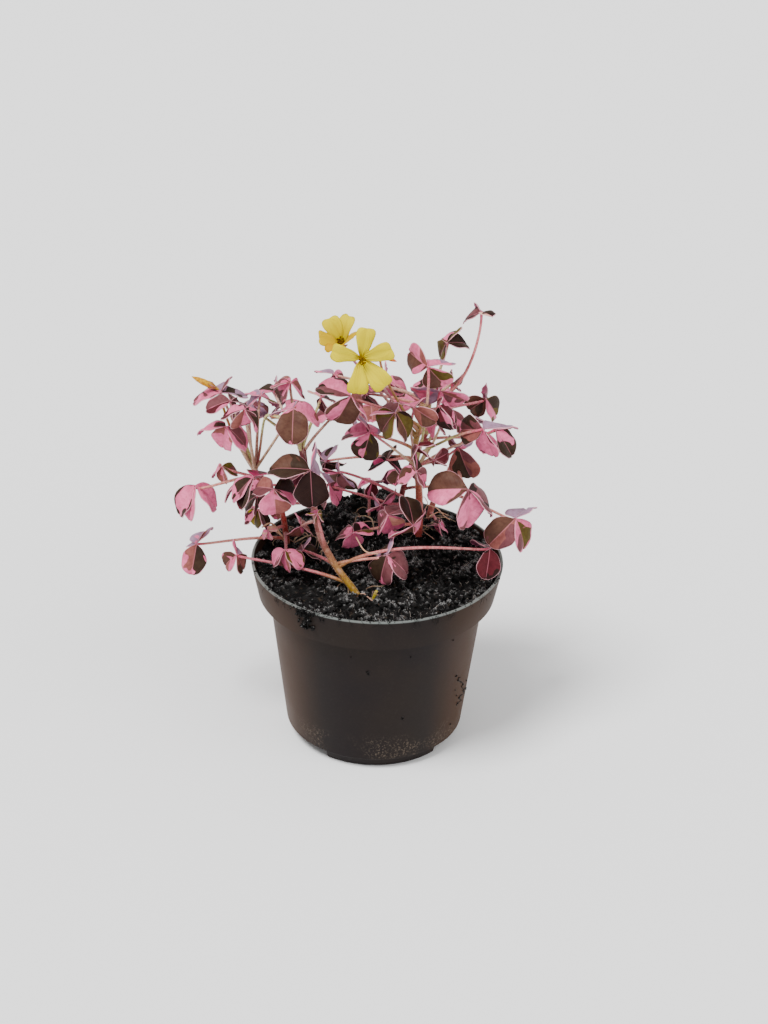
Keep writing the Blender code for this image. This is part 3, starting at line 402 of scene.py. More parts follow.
BLOOMS = {
    "bloom_front": Bloom((-8, 171.5, -22), ((2, 13, -1), (12, 4, -4), (10, -12.5, -4),
                                            (-1.5, -16, -5), (-11.5, 2.5, -3)),
                         "right", 0.78, (5, 154, -6)),
    "bloom_back": Bloom((-15.5, 177, -8), ((-5.5, 11.5, 1), (1.5, 12.5, 1), (3.5, 4, -9),
                                           (-4, -0.5, -11), (-9.5, 3.5, -5)),
                        "right", 0.80, (-1, 158, 2)),
}
BUDS = {
    "bud_left": Bud((-66.2, 157.3, -1), (-75.3, 161.8, -4), 1.3, "left", 1.00, (-66, 146, -1),
                    ((196, 172, 118), (222, 190, 84), (214, 178, 78))),
    "bud_cream": Bud((-44.5, 145.5, 5), (-36.5, 144, 3), 0.9, "left", 1.00, (-47, 136, 3),
                     ((212, 214, 184), (236, 234, 208), (248, 244, 228))),
    "bud_right": Bud((1, 172.5, -12), (6, 170.5, -16), 0.8, "right", 0.82, (-1, 164, -9),
                     ((190, 150, 120), (224, 150, 84), (206, 120, 70))),
}


# Making things


def light_of(screen):
    """The surface that shows a screen colour under the studio's light.

    The picture's tone curve greys strong light colours, so these are pushed away from grey first.
    """
    parts = [c / 255 for c in screen]
    parts = [((c + 0.055) / 1.055) ** 2.4 if c > 0.04 else c / 12.92 for c in parts]
    grey = sum(share * c for share, c in zip(GREY_SHARES, parts))
    push = 1 + TONE_PUSH * grey
    return tuple(min(1, max(LEAST_LIGHT, (grey + (c - grey) * push) * TONE_GAIN)) for c in parts) + (1,)


def pick(*pieces):
    """Select these pieces alone, the first one active."""
    bpy.ops.object.select_all(action="DESELECT")
    for piece in pieces:
        piece.select_set(True)
    bpy.context.view_layer.objects.active = pieces[0]


def shape_from(add, name, **sizes):
    """A plain shape to work on, picked alone."""
    bpy.ops.object.select_all(action="DESELECT")
    add(**sizes)
    piece = bpy.context.object
    piece.name = name
    return piece


def join(name, pieces):
    pick(*pieces)
    if len(pieces) > 1:
        bpy.ops.object.join()
    joined = bpy.context.view_layer.objects.active
    joined.name = name
    joined.data.name = name
    return joined


def place_in_scene(name, data):
    piece = bpy.data.objects.new(name, data)
    bpy.context.scene.collection.objects.link(piece)
    return piece


def mesh_piece(name, points, faces, edges=()):
    """A mesh of points in millimetres."""
    mesh = bpy.data.meshes.new(name)
    mesh.from_pydata([Vector(p) * MM for p in points], edges, faces)
    mesh.update()
    return place_in_scene(name, mesh)


def seen(across, up, depth):
    """Slide a point of the measuring plane along its line of sight to a depth behind it."""
    reach = 1 + depth / EYE_BACK
    return Vector((EYE_ACROSS + (across - EYE_ACROSS) * reach, depth, EYE_UP + (up - EYE_UP) * reach))


def smooth_route(points, step):
    """Points about one step apart on a smooth curve through the given points."""
    route = [Vector(p) for p in points]
    route = [route[0] * 2 - route[1]] + route + [route[-1] * 2 - route[-2]]
    out = []
    for i in range(1, len(route) - 2):
        a, b, c, d = route[i - 1:i + 3]
        count = max(1, round((c - b).length / step))
        for j in range(count):
            t = j / count
            out.append(0.5 * ((2 * b) + (c - a) * t + (2 * a - 5 * b + 4 * c - d) * t * t
                              + (3 * b - a - 3 * c + d) * t ** 3))
    out.append(route[-2])
    return out


def lengths_of(path):
    return [(b - a).length for a, b in zip(path, path[1:])]


def along_path(path, part):
    """The point that lies this part of the way along a path."""
    lengths = lengths_of(path)
    left = part * sum(lengths)
    for a, b, length in zip(path, path[1:], lengths):
        if left <= length:
            return a.lerp(b, left / length)
        left -= length
    return path[-1].copy()


def between(stops, part):
    """A value that runs evenly through a few stops."""
    place = min(max(part, 0), 1) * (len(stops) - 1)
    i = min(int(place), len(stops) - 2)
    t = place - i
    return tuple(a * (1 - t) + b * t for a, b in zip(stops[i], stops[i + 1]))


def across_from(ahead):
    """Two directions square to this one and to each other."""
    first = ahead.orthogonal().normalized()
    return first, ahead.cross(first)


def round_about(ahead, count, shift=0.0):
    """Directions spread evenly round an axis, from one that is turned by part of a step."""
    first, second = across_from(ahead)
    turns = [FULL_TURN * (k + shift) / count for k in range(count)]
    return [first * math.cos(turn) + second * math.sin(turn) for turn in turns]


# Finishes


def new_finish(name, **sockets):
    made = bpy.data.materials.new(name)
    made.use_nodes = True
    shader = made.node_tree.nodes["Principled BSDF"]
    for socket, value in sockets.items():
        shader.inputs[socket.replace("_", " ")].default_value = value
    return made


def node(made, kind, settings=None, **inputs):
    """Add a node; a leading underscore and a number name a socket by its place."""
    step = made.node_tree.nodes.new("ShaderNode" + kind)
    for key, value in (settings or {}).items():
        setattr(step, key, value)
    for key, value in inputs.items():
        socket = step.inputs[int(key[1:])] if key[0] == "_" else step.inputs[key.replace("_", " ")]
        if isinstance(value, bpy.types.NodeSocket):
            made.node_tree.links.new(value, socket)
        else:
            socket.default_value = value
    return step


def maths(made, operation, a, b=0.0):
    return node(made, "Math", {"operation": operation}, _0=a, _1=b).outputs[0]


def less(made, a, b):
    return maths(made, "SUBTRACT", a, b)


def rest(made, part):
    """What a part leaves of one."""
    return less(made, 1.0, part)


def times(made, value, *shares):
    for share in shares:
        value = maths(made, "MULTIPLY", value, share)
    return value


def blend(made, part, a, b, how="MIX"):
    settings = {"data_type": "RGBA", "blend_type": how}
    return node(made, "Mix", settings, _0=part, _6=a, _7=b).outputs[2]


def dyed(made, part, colour, dye):
    """A colour that a dye darkens over part of the surface."""
    return blend(made, part, colour, blend(made, 1.0, colour, dye, "MULTIPLY"))


def rise(made, value, low, high):
    """0 below the low value, 1 above the high one, smooth between."""
    settings = {"interpolation_type": "SMOOTHSTEP"}
    return node(made, "MapRange", settings, Value=value, From_Min=low, From_Max=high).outputs[0]


def attribute(made, name):
    return node(made, "Attribute", {"attribute_name": name}).outputs


def split(made, place):
    return node(made, "SeparateXYZ", Vector=place).outputs[:]


def grain(made, scale, detail=2.0, at=None, roughness=0.5):
    """Noise at a scale in lumps per metre on Object coordinates, or on a given place."""
    place = at or node(made, "TexCoord").outputs["Object"]
    return node(made, "TexNoise", Vector=place, Scale=scale, Detail=detail,
                Roughness=roughness).outputs["Fac"]


def finish_off(made, colour, roughness=None, height=None, depth=0.0001, strength=0.5):
    """Link a finish's colour, roughness and bump to its shader."""
    shader = made.node_tree.nodes["Principled BSDF"]
    links = made.node_tree.links
    links.new(colour, shader.inputs["Base Color"])
    if roughness is not None:
        links.new(roughness, shader.inputs["Roughness"])
    if height is not None:
        bump = node(made, "Bump", Height=height, Distance=depth, Strength=strength)
        links.new(bump.outputs[0], shader.inputs["Normal"])
    return made


def leaf_finish(name, underside):
    """Sharp-edged patches that follow the veins, a pale edge and a pale midrib."""
    made = new_finish(name, Sheen_Weight=0.02, Sheen_Roughness=0.4, Specular_IOR_Level=0.10)
    across, along, _ = split(made, node(made, "UVMap").outputs[0])
    patch = attribute(made, "patch")
    # Each half has its own pattern, which is stretched along the veins and fuller at the margin
    half = times(made, maths(made, "GREATER_THAN", across, 0.5), 3.0)
    spot = node(made, "CombineXYZ", _0=maths(made, "ADD", times(made, across, PATCHES_ACROSS), half),
                _1=times(made, along, PATCHES_ALONG), _2=attribute(made, "draw")["Fac"]).outputs[0]
    margin = rest(made, rise(made, attribute(made, "edge")["Fac"], *MARGIN_REACH))
    limit = less(made, PATCH_LIMIT, times(made, patch["Alpha"], PATCH_EASE))
    limit = less(made, limit, times(made, margin, MARGIN_EASE))
    inside = rise(made, less(made, grain(made, 1.0, 1.6, spot), limit), -PATCH_BLUR, PATCH_BLUR)
    colour = blend(made, inside, attribute(made, "tone")["Color"], patch["Color"])
    mottle = grain(made, 700.0, 3.0)
    colour = dyed(made, rise(made, mottle, 0.35, 0.75), colour, LEAF_MOTTLE)
    shade = rise(made, grain(made, 170.0), 0.42, 0.66)
    colour = dyed(made, times(made, shade, 0.6), colour, LEAF_SHADE)
    root = rest(made, rise(made, along, 0.04, 0.42))
    colour = dyed(made, times(made, root, 0.45), colour, LEAF_ROOT)
    wave = maths(made, "ABSOLUTE", maths(made, "SINE", times(made, along, VEIN_WAVES)))
    out = maths(made, "ABSOLUTE", less(made, across, 0.5))
    vein = times(made, rest(made, rise(made, wave, 0.0, 0.28)), rise(made, out, 0.0, 0.10))
    colour = dyed(made, times(made, vein, 0.4), colour, LEAF_VEIN)
    middle = rest(made, rise(made, attribute(made, "mid")["Fac"], 0.05, 0.26))
    colour = blend(made, times(made, middle, 0.35), colour, light_of(MIDRIB))
    edge = rest(made, rise(made, attribute(made, "edge")["Fac"], 0.08, 0.26))
    colour = blend(made, times(made, edge, 0.74), colour, light_of(PALE_EDGE))
    if underside:
        colour = blend(made, 0.62, colour, light_of(UNDERSIDE))
    height = less(made, less(made, mottle, times(made, vein, 0.8)), middle)
    shine = node(made, "MapRange", Value=grain(made, 260.0), To_Min=0.42, To_Max=0.66).outputs[0]
    return finish_off(made, colour, shine, height, 0.00012)


def petal_finish():
    """Clear yellow with fine orange-brown lines that run out from the heart."""
    made = new_finish("petal", Sheen_Weight=0.0, Specular_IOR_Level=0.04)
    across, along, _ = split(made, node(made, "UVMap").outputs[0])
    spot = node(made, "CombineXYZ", _0=times(made, across, 15.0), _1=times(made, along, 0.9),
                _2=attribute(made, "draw")["Fac"]).outputs[0]
    streak = rise(made, grain(made, 1.0, 1.0, spot), 0.51, 0.58)
    near = rest(made, rise(made, along, 0.20, 0.50))
    colour = blend(made, rise(made, along, 0.04, 0.34), PETAL_HEART, attribute(made, "tone")["Color"])
    colour = blend(made, times(made, streak, near, 0.95), colour, PETAL_LINES)
    colour = blend(made, times(made, streak, rest(made, near), 0.22), colour, FAINT_LINES)
    return finish_off(made, colour, times(made, grain(made, 300.0), 0.9), streak, 0.00008, 0.4)


def stalk_finish():
    """Soft stems with dark flecks and a pale film, tinted point by point."""
    made = new_finish("stalk", Sheen_Weight=0.15, Sheen_Roughness=0.4, Specular_IOR_Level=0.3)
    fleck = rise(made, grain(made, 1400.0, 3.0), 0.42, 0.62)
    colour = dyed(made, fleck, attribute(made, "tint")["Color"], STALK_FLECK)
    film = rise(made, grain(made, 420.0), 0.52, 0.66)
    colour = blend(made, times(made, film, 0.25), colour, light_of(STALK_FILM))
    shine = maths(made, "ADD", 0.38, times(made, fleck, 0.2))
    return finish_off(made, colour, shine, fleck, 0.00015)


def stamen_finish():
    """Dull powdery gold."""
    made = new_finish("stamen", Roughness=0.8, Specular_IOR_Level=0.03)
    tint = attribute(made, "tint")["Color"]
    powder = rise(made, grain(made, 2400.0), 0.40, 0.60)
    dark = blend(made, 1.0, tint, STAMEN_DUST, "MULTIPLY")
    return finish_off(made, blend(made, powder, dark, tint), None, powder, strength=0.4)


def hair_finish():
    made = new_finish("hair", Roughness=0.5, Sheen_Weight=0.2)
    dark, light = map(light_of, HAIRS)
    return finish_off(made, blend(made, grain(made, 90.0), dark, light))


def fibre_finish():
    made = new_finish("fibre", Roughness=0.7)
    dark, light = map(light_of, ROOTS)
    return finish_off(made, blend(made, rise(made, grain(made, 150.0), 0.35, 0.65), dark, light))


def soil_finish():
    """Black peat with painted highlights: grey on its crests and bright in thin seams."""
    made = new_finish("peat", Specular_IOR_Level=0.12)
    fine = grain(made, 760.0, 5.0, roughness=0.7)
    painted_highlight_mask = attribute(made, "painted_highlight_mask")["Fac"]
    colour = blend(made, rise(made, grain(made, 300.0, 4.0), 0.40, 0.68), *PEAT_BLACKS)
    # Painted highlight: mid grey on the crests of the crumbs and clods
    crest_highlight = times(made, rise(made, painted_highlight_mask, 0.2, 0.9), rise(made, fine, 0.42, 0.62))
    colour = blend(made, crest_highlight, colour, PEAT_CREST_HIGHLIGHT)
    # Painted glints: thin bright seams over the crests
    seam = maths(made, "ABSOLUTE", less(made, grain(made, 430.0, 4.0, roughness=0.65), 0.52))
    glint = times(made, rise(made, painted_highlight_mask, 0.25, 0.8), rest(made, rise(made, seam, 0.008, 0.034)))
    colour = blend(made, glint, colour, PEAT_GLINT)
    bark = rise(made, grain(made, 420.0, 3.0), 0.62, 0.70)
    colour = blend(made, times(made, bark, 0.6), colour, PEAT_BROWN)
    shine = node(made, "MapRange", Value=grain(made, 340.0, 3.0), From_Min=0.35, From_Max=0.65,
                 To_Min=0.34, To_Max=0.95).outputs[0]
    return finish_off(made, colour, shine, fine, 0.0009, 1.0)


def pot_finish():
    """Thin dark brown plastic with dust and dried splashes near the foot, painted warm light on its flanks
    and a pale painted highlight line along the rim.
    """
    made = new_finish("pot_plastic", Specular_IOR_Level=0.06)
    across, _, up = split(made, node(made, "TexCoord").outputs["Object"])
    cloud = grain(made, 28.0, 3.0)
    colour = blend(made, rise(made, cloud, 0.3, 0.7), *POT_BROWNS)
    # Painted light: a warmer brown on the pot's left and right flanks, stronger low down
    flank_light = rise(made, maths(made, "ABSOLUTE", across), 0.020, 0.044)
    low_down = less(made, 1.25, times(made, up, 10.0))
    colour = blend(made, times(made, flank_light, low_down, 0.85), colour, POT_FLANK_LIGHT)
    dust = rise(made, grain(made, 900.0, 5.0, roughness=0.7), 0.5, 0.75)
    colour = blend(made, times(made, dust, 0.02), colour, POT_DUST)
    band = times(made, rise(made, up, 0.003, 0.007), rest(made, rise(made, up, 0.010, 0.020)))
    splash = times(made, rise(made, grain(made, 1000.0, 5.0, roughness=0.75), 0.50, 0.64),
                   rise(made, grain(made, 60.0), 0.44, 0.60))
    colour = blend(made, times(made, times(made, band, splash), 0.6), colour, POT_SPLASH)
    # Painted highlight: a pale line along the top of the rim
    rim_highlight = rise(made, up, 0.0803, 0.0808)
    colour = blend(made, times(made, rim_highlight, 0.6), colour, POT_RIM_HIGHLIGHT)
    shine = maths(made, "ADD", 0.36, times(made, cloud, 0.26))
    return finish_off(made, colour, shine, grain(made, 1800.0), 0.00004, 0.3)


# Leaves


def blank(name, outline, across, along):
    """A flat leaflet or petal one unit long, whose rows fan out from its midrib like its veins.

    It's shaped from a grid: a column's place tells how far out it lies, a row's how far along
    the outline.
    """
    piece = shape_from(bpy.ops.mesh.primitive_grid_add, name, x_subdivisions=across,
                       y_subdivisions=along, size=2)
    mesh = piece.data
    edge = mesh.attributes.new("edge", "FLOAT", "POINT")
    mid = mesh.attributes.new("mid", "FLOAT", "POINT")
    for i, vertex in enumerate(mesh.vertices):
        out, part = abs(vertex.co.x), (vertex.co.y + 1) / 2
        margin = Vector(between(outline, part))
        root = Vector((outline[-1][0] * part ** VEIN_SLANT, 0))
        spot = root.lerp(margin, out ** VEIN_SPREAD)
        edge.data[i].value = (margin - spot).length
        mid.data[i].value = spot.y
        vertex.co = Vector((math.copysign(spot.y, vertex.co.x) if out > 1e-6 else 0, spot.x, 0))
    return piece


def half_width(outline, along):
    for (a, wide), (b, wider) in zip(outline, outline[1:]):
        if a <= along <= b:
            return wide + (wider - wide) * (along - a) / max(b - a, 1e-6)
    return outline[-2][1]


def rib_to(hub, tip, size):
    """The rib from a hub to a tip given as seen from it."""
    start = seen(*hub)
    if len(tip) == 3:
        return seen(hub[0] + tip[0], hub[1] + tip[1], hub[2] + tip[2]) - start
    flat = seen(hub[0] + tip[0], hub[1] + tip[1], hub[2]) - start
    sight = seen(hub[0], hub[1], hub[2] + 1) - start
    a, b, c = sight.dot(sight), 2 * sight.dot(flat), flat.dot(flat) - size * size
    root = math.sqrt(max(0, b * b - 4 * a * c))
    choices = [flat + sight * (-b + sign * root) / (2 * a) for sign in (-1, 1)]
    return min(choices, key=lambda rib: abs(rib.normalized().dot(UP_TO_VIEWER) + USUAL_DROOP))


def hidden_ribs(leaf, number):
    """Three even ribs that droop from a leaf facing outwards."""
    draw = random.Random(HIDDEN_SEED + number)
    turn, lift = math.radians(leaf.azimuth), math.radians(HIDDEN_RISE)
    out = Vector((math.sin(turn) * math.cos(lift), -math.cos(turn) * math.cos(lift), math.sin(lift)))
    down = Vector((math.sin(turn) * math.sin(lift), -math.cos(turn) * math.sin(lift), -math.cos(lift)))
    right = out.cross(down)
    spin = draw.uniform(0, FULL_TURN / 3)
    ribs = []
    for k in range(3):
        angle = spin + FULL_TURN * k / 3
        fall = math.radians(HIDDEN_DROOP + draw.uniform(-8, 8))
        flat = down * math.cos(angle) + right * math.sin(angle)
        ribs.append((flat * math.cos(fall) - out * math.sin(fall)) * HIDDEN_SIZE)
    return ribs


def face_of(ribs, cupped=False):
    """The direction that the upper side of a drooping leaf, or of a cupped bloom, faces."""
    area, mean = Vector(), Vector()
    for rib, after in zip(ribs, ribs[1:] + ribs[:1]):
        area += rib.cross(after) / (rib.length * after.length)
        mean += rib.normalized()
    area /= len(ribs) * math.sin(FULL_TURN / len(ribs))
    if area.dot(UP_TO_VIEWER) < 0:
        area.negate()
    mean /= len(ribs) * (1 if cupped else -1)
    return (area + mean).normalized()


def lobe_facing(hub, rib, out, openness):
    """The way a leaflet's upper side faces, turned about its rib to look this open from the front."""
    ahead = rib.normalized()
    deep = Vector((EYE_ACROSS, -EYE_BACK, EYE_UP)) - hub
    deep = (deep - ahead * deep.dot(ahead)).normalized()
    flat = ahead.cross(deep)
    slant = math.sqrt(1 - openness * openness)
    choices = [deep * openness * a + flat * slant * b for a in (-1, 1) for b in (-1, 1)]
    return max(choices, key=out.dot)


def set_values(mesh, name, kind, domain, values):
    layer = mesh.attributes.new(name, kind, domain)
    key = "color" if kind == "FLOAT_COLOR" else "value"
    for entry, value in zip(layer.data, values):
        setattr(entry, key, value)


def lobe(flat, outline, hub, rib, out, form, tones, draw):
    """A copy of a flat leaflet or petal, bent into place on its rib."""
    piece = place_in_scene(flat.name, flat.data.copy())
    mesh = piece.data
    size = rib.length
    ahead = rib.normalized()
    side = ahead.cross(out).normalized()
    normal = side.cross(ahead)
    centres = [face.center.x for face in mesh.polygons]
    phase, twist = draw.uniform(0, 6.3), draw.uniform(-form["twist"], form["twist"])
    wide = draw.uniform(*form["wide"])
    curl = draw.uniform(*form["curl"])
    for i, vertex in enumerate(mesh.vertices):
        across, along = vertex.co.x, vertex.co.y
        reach = abs(across) / max(half_width(outline, along), 0.01)
        lift = form["fold"] * abs(across) - form["arch"] * along * along
        lift += form["dome"] * math.sin(math.pi * min(reach, 1)) * min(1, 2.5 * along)
        lift -= curl * max(0, along - CURL_FROM) ** 2 * 4
        wave = math.sin(WAVES * along + phase + (WAVE_LAG if across > 0 else 0))
        lift += form["wave"] * wave * min(reach, 1) ** 2 * min(1, 3 * along)
        lift += twist * across * along * 2
        swell = math.sin(SWELLS * along + 2 * phase + (SWELL_LAG if across > 0 else 0))
        aside = side * across * wide * (1 + form["uneven"] * swell)
        vertex.co = (hub + (ahead * along + aside + normal * lift) * size) * MM
        mesh.attributes["edge"].data[i].value *= size
        mesh.attributes["mid"].data[i].value *= size
    first, second, patch = tones
    patch = (*patch[:3], form["patch"] + draw.uniform(-0.12, 0.16))
    count = len(centres)
    set_values(mesh, "tone", "FLOAT_COLOR", "FACE", [first if x > 0 else second for x in centres])
    set_values(mesh, "patch", "FLOAT_COLOR", "FACE", [patch] * count)
    set_values(mesh, "draw", "FLOAT", "FACE", [draw.uniform(0, 60)] * count)
    return piece


def thicken(piece, thickness, top, under):
    """Give a sheet its thickness, with its own finish underneath."""
    piece.data.materials.clear()
    piece.data.materials.append(top)
    piece.data.materials.append(under)
    pick(piece)
    bpy.ops.object.shade_smooth()
    wall = piece.modifiers.new("thickness", "SOLIDIFY")
    wall.thickness = thickness * MM
    wall.offset = 0
    wall.material_offset = 1
    bpy.ops.object.modifier_apply(modifier=wall.name)
    return piece


# Stalks and hairs


def stalk(path, radii, tints, sides=2):
    """A round stalk along a path, with radii and tints that run evenly along it."""
    curve = bpy.data.curves.new("stalk", "CURVE")
    curve.dimensions = "3D"
    curve.bevel_depth = MM
    curve.bevel_resolution = sides
    curve.use_fill_caps = True
    line = curve.splines.new("POLY")
    line.points.add(len(path) - 1)
    for i, (point, place) in enumerate(zip(line.points, path)):
        point.co = (*(place * MM), 1)
        point.radius = between([(r,) for r in radii], i / (len(path) - 1))[0]
    pick(place_in_scene("stalk", curve))
    bpy.ops.object.convert(target="MESH")
    piece = bpy.context.object
    piece.data.materials.append(STALK)
    colours = []
    for vertex in piece.data.vertices:
        spot = vertex.co / MM
        nearest = min(range(len(path)), key=lambda k: (path[k] - spot).length_squared)
        colours.append(light_of(between(tints, nearest / (len(path) - 1))))
    set_values(piece.data, "tint", "FLOAT_COLOR", "POINT", colours)
    bpy.ops.object.shade_smooth()
    return piece


def stalk_path(start, end, out, steps, bend=None):
    """A stalk that rises a little as it leaves and meets its end from behind."""
    span = (end - start).length
    lead = bend or start.lerp(end, FIRST_PULL) + Vector((0, 0, PULL_LIFT * span))
    back = end - out * min(END_PULL * span, END_PULL_LIMIT)
    path = []
    for i in range(steps + 1):
        t = i / steps
        path.append(start * (1 - t) ** 3 + lead * 3 * t * (1 - t) ** 2 + back * 3 * t * t * (1 - t)
                    + end * t ** 3)
    return path


def hair_piece(roots):
    """Fine hairs, each a slim closed spike from a root along a direction."""
    points, faces = [], []
    for root, direction, radius in roots:
        side = direction.orthogonal().normalized() * radius
        up = direction.cross(side).normalized() * radius
        base = len(points)
        points += [root + side, root - side * 0.5 + up * 0.87, root - side * 0.5 - up * 0.87,
                   root + direction]
        faces += [(base, base + 1, base + 3), (base + 1, base + 2, base + 3),
                  (base + 2, base, base + 3), (base, base + 2, base + 1)]
    piece = mesh_piece("hairs", points, faces)
    piece.data.materials.append(HAIR)
    return piece


def stalk_hairs(path, radius, spacing, length, draw):
    roots = []
    for _ in range(int(sum(lengths_of(path)) / spacing)):
        part = draw.random()
        spot, next_spot = along_path(path, part), along_path(path, min(part + 0.02, 1))
        ahead = (next_spot - spot).normalized() if (next_spot - spot).length > 1e-6 else Vector((0, 0, 1))
        side, up = across_from(ahead)
        turn = draw.uniform(0, FULL_TURN)
        away = side * math.cos(turn) + up * math.sin(turn)
        reach = (away + ahead * draw.uniform(-0.3, 0.5)).normalized() * length * draw.uniform(*HAIR_RANGE)
        roots.append((spot + away * radius * 0.85, reach, HAIR_RADIUS))
    return roots


def margin_hairs(piece, hub, count, draw):
    """Hairs that stand out from a leaflet's edge."""
    mesh = piece.data
    edge = mesh.attributes["edge"].data
    rim = [v.co / MM for i, v in enumerate(mesh.vertices) if edge[i].value < 1e-5]
    roots = []
    for _ in range(count):
        spot = draw.choice(rim)
        away = (spot - hub).normalized()
        stray = Vector((draw.uniform(-1, 1), draw.uniform(-1, 1), draw.uniform(-1, 1))) * 0.5
        reach = (away + stray).normalized() * MARGIN_HAIR * draw.uniform(*HAIR_RANGE)
        roots.append((spot, reach, MARGIN_HAIR_RADIUS))
    return roots


# The plant


def stalk_start(name, at, end):
    """A point inside a stem, on the side that its stalk leaves from."""
    stem = STEMS[name]
    centre = along_path(smooth_route(stem.route, 8.0), min(at, 0.985))
    side = end - centre
    side.z = 0
    return centre + side.normalized() * stem.tip_radius * 0.6


def leaves_of(name):
    """Each of a stem's leaves: place along it, hub, leaflet length, ribs, facings, tones and bend."""
    leaves = []
    for leaf in (Leaf(*row) for row in LEAVES.get(name, ())):
        hub = seen(*leaf.hub)
        ribs = [rib_to(leaf.hub, tip, leaf.size) for tip in (leaf.tip_a, leaf.tip_b, leaf.tip_c)]
        out = face_of(ribs)
        facings = [lobe_facing(hub, rib, out, int(digit) / FULLY_OPEN)
                   for rib, digit in zip(ribs, leaf.open)]
        bend = seen(*leaf.bend) if leaf.bend else None
        leaves.append((leaf.at, hub, leaf.size, ribs, facings, leaf.tones.split(), bend))
    draw = random.Random(HIDDEN_SEED)
    for number, leaf in enumerate(HIDDEN_LEAVES):
        tones = [draw.choice(HIDDEN_TONES) for _ in range(3)]
        if leaf.stem == name:
            ribs = hidden_ribs(leaf, number)
            facings = [face_of(ribs)] * len(ribs)
            leaves.append((leaf.at, seen(*leaf.hub), HIDDEN_SIZE, ribs, facings, tones, None))
    return leaves


def leafy_stem(name, number):
    """A stem with its petioles, leaves, flower stalks and hairs, as one piece."""
    stem = STEMS[name]
    draw = random.Random(100 + number)
    path = smooth_route(stem.route, 3.0)
    radii = [stem.radius, (stem.radius + stem.tip_radius) / 2, stem.tip_radius]
    stalks = [stalk(path, radii, stem.tints, 4)]
    hairs = stalk_hairs(path, stem.radius * 0.9, STEM_HAIR_GAP, STEM_HAIR, draw)
    sheets = []
    for at, hub, size, ribs, facings, tones, bend in leaves_of(name):
        end = hub + sum(ribs, Vector()) / 3 * HUB * 0.4
        route = stalk_path(stalk_start(name, at, hub), end, face_of(ribs), 18, bend)
        pale = at > PALE_FROM and not bend
        middle = draw.choice(PALE_PETIOLES if pale else PINK_PETIOLES)
        tints = (middle if pale else between(stem.tints, at), middle, middle, middle, KNOT)
        stalks.append(stalk(route, PETIOLE_RADII, tints))
        hairs += stalk_hairs(route, 0.58, STALK_HAIR_GAP, STALK_HAIR, draw)
        for rib, facing, tone in zip(ribs, facings, tones):
            lights = [light_of(TONES[letter]) for letter in tone]
            sheet = lobe(LEAFLET, LEAFLET_EDGE, hub, rib, facing, LEAF_FORM, lights, draw)
            hairs += margin_hairs(sheet, hub, int(MARGIN_HAIRS * size), draw)
            sheets.append(sheet)
    chance = random.Random(FINE_SEED + number)
    for points in FINE_PETIOLES.get(name, ()):
        route = smooth_route([seen(*spot) for spot in points], 1.5)
        pale = chance.choice(PALE_PETIOLES)
        stalks.append(stalk(route, FINE_RADII, (pale, pale, pale, KNOT)))
        hairs += stalk_hairs(route, 0.5, STALK_HAIR_GAP, STALK_HAIR, chance)
    for shape in (*BLOOMS.values(), *BUDS.values()):
        if shape.stem == name:
            if isinstance(shape, Bloom):
                hub, ribs, out = bloom_seat(shape)
                end = hub - out * 0.8
                top = FLOWER_STALK
            else:
                end, point = seen(*shape.foot), seen(*shape.point)
                out = (point - end).normalized()
                top = shape.tints[0]
            route = stalk_path(stalk_start(name, shape.at, end), end, out, 22, seen(*shape.bend))
            stalks.append(stalk(route, FLOWER_STALK_RADII, (between(stem.tints, shape.at), top, top)))
            hairs += stalk_hairs(route, 0.5, STALK_HAIR_GAP, STALK_HAIR, draw)
    pieces = stalks + [hair_piece(hairs)]
    if sheets:
        pieces.append(thicken(join("leaves", sheets), LEAF_THICKNESS, LEAF_TOP, LEAF_UNDER))
    piece = join("leafy_" + name, pieces)
    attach(piece, "root")
    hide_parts("stem_" + name)


def bloom_seat(shape):
    hub = seen(*shape.hub)
    ribs = [rib_to(shape.hub, tip, 0) for tip in shape.petals]
    return hub, ribs, face_of(ribs, cupped=True)


def bloom(name, tones, number):
    """Five petals round a heart of stamens, on a calyx."""
    hub, ribs, out = bloom_seat(BLOOMS[name])
    draw = random.Random(300 + number)
    petals = [lobe(PETAL, PETAL_EDGE, hub, rib, out, PETAL_FORM, (tone, tone, tone), draw)
              for rib, tone in zip(ribs, tones)]
    petals = thicken(join("petals", petals), PETAL_THICKNESS, PETAL_SKIN, PETAL_SKIN)
    parts = []
    for k, lean in enumerate(round_about(out, STAMENS)):
        tall = STAMEN_HEIGHTS[k % 2]
        end = hub + out * tall + lean * 1.1
        parts.append(stalk([hub - out * 0.2, hub + out * tall * 0.5 + lean * 0.5, end],
                           (0.18, 0.14), FILAMENT_TINTS, 0))
        parts.append(stalk([end - out * 0.1, end + out * 0.35 + lean * 0.1, end + out * 0.8],
                           (0.2, 0.42, 0.15), ANTHER_TINTS, 1))
    parts.append(stalk([hub - out * 0.6, hub + out * 0.8, hub + out * 2.0], (0.7, 1.0, 0.4),
                       PISTIL_TINTS, 2))
    for part in parts:
        part.data.materials[0] = STAMEN
    parts.append(petals)
    for lean in round_about(out, 5, 0.5):
        parts.append(stalk([hub - out * 1.0, hub - out * 0.9 + lean * 0.9, hub - out * 0.7 + lean * 1.9],
                           (0.4, 0.5, 0.15), CALYX_TINTS, 1))
    piece = join(name + "_petals", parts)
    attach(piece, "root")
    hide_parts(name)


